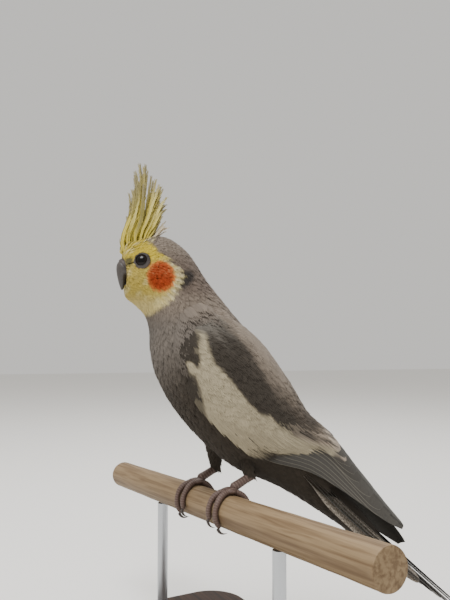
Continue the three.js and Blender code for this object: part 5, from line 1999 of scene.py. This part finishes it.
def rod_shape(distance):
    """A turned rod: its outline, from the board up, is spun round its axis."""
    foot = placed(on_perch(distance, 0, 0))
    low, high = base_high.z, foot[2] - (PERCH_RADIUS - 0.6) * MM
    radius, collar = ROD_RADIUS * MM, (ROD_RADIUS + 1.6) * MM
    outline = [(0, low), (collar, low), (collar, low + 0.9 * MM), (radius + 1.1 * MM, low + 1.4 * MM),
               (radius, low + 1.5 * MM), (radius, high - 1 * MM), (0, high - 1 * MM)]
    shape = spun_outline(outline, 48)
    bmesh.ops.translate(shape, vec=(foot[0], foot[1], 0), verts=shape.verts)
    return shape


def steel_material():
    """Drawn steel rod: satin, with fine lines along it that spread the highlight."""
    material, tree, surface = new_material("drawn_steel", Metallic=1.0, Base_Color=rgba("#b9bcc0"))
    place = add(tree, "TexCoord").outputs["Object"]
    drawn = add(tree, "Mapping", {"Vector": place, "Scale": (2500, 2500, 20)})
    lines = add(tree, "TexNoise", {"Vector": drawn, "Scale": 1, "Detail": 2})
    rough = add(tree, "MapRange", {"Value": lines, "To Min": 0.24, "To Max": 0.42})
    tree.links.new(rough.outputs["Result"], surface.inputs["Roughness"])
    return material


BOARD_ANGLE = -1.31
BOARD_GRAIN = (math.cos(BOARD_ANGLE), math.sin(BOARD_ANGLE), 0)
BOARD_WOOD = wood_material("varnished_board", BOARD_GRAIN, "#4a3426", "#2f2018", "#231710")
STEEL = steel_material()
show_shapes([board_shape()], "stand_base_board", BOARD_WOOD, ["stand_base"], crease=35)
for name, distance in (("front", ROD_SPREAD), ("back", -ROD_SPREAD)):
    rod = f"stand_rod_{name}"
    show_shapes([rod_shape(distance)], f"{rod}_steel", STEEL, [rod], crease=35)

# %% [markdown]
# ## Floor and light
# A pale floor and a pale surround keep the eye on the bird. The photo's light is soft and comes from
# above, a little from the front, so one broad lamp hangs there, a weaker one behind lifts the back's
# outline, and the surround itself fills the shadows.

# %% Stage
FLOOR_SIZE = 6.0
floor_shape = bmesh.new()
bmesh.ops.create_grid(floor_shape, x_segments=1, y_segments=1, size=FLOOR_SIZE / 2)
floor_mesh = bpy.data.meshes.new("floor")
floor_shape.to_mesh(floor_mesh)
floor_shape.free()
floor = bpy.data.objects.new("floor", floor_mesh)
floor.location.z = -0.2 * MM
bpy.context.scene.collection.objects.link(floor)
floor_mesh.materials.append(new_material("pale_matt_floor", Roughness=0.95, Base_Color=rgba("#eeece8"))[0])

world = bpy.data.worlds.new("pale_surround")
world.use_nodes = True
surround = world.node_tree.nodes["Background"]
surround.inputs["Color"].default_value = rgba("#e8e6e2")
surround.inputs["Strength"].default_value = 0.9
bpy.context.scene.world = world

LAMPS = [
    # name, place in metres, size in metres, watts
    ("broad_lamp", (-0.35, -0.35, 1.15), 0.6, 16),
    ("rim_lamp", (0.3, 0.55, 1.15), 0.6, 8),
]
aim = Vector((0, 0, PERCH_HEIGHT + 60 * MM))
for name, place, size, power in LAMPS:
    lamp = bpy.data.objects.new(name, bpy.data.lights.new(name, "AREA"))
    lamp.data.size = size
    lamp.data.energy = power
    lamp.location = place
    lamp.rotation_euler = (aim - Vector(place)).to_track_quat("-Z", "Y").to_euler()
    bpy.context.scene.collection.objects.link(lamp)
    print(f"{name}: {power} watts")
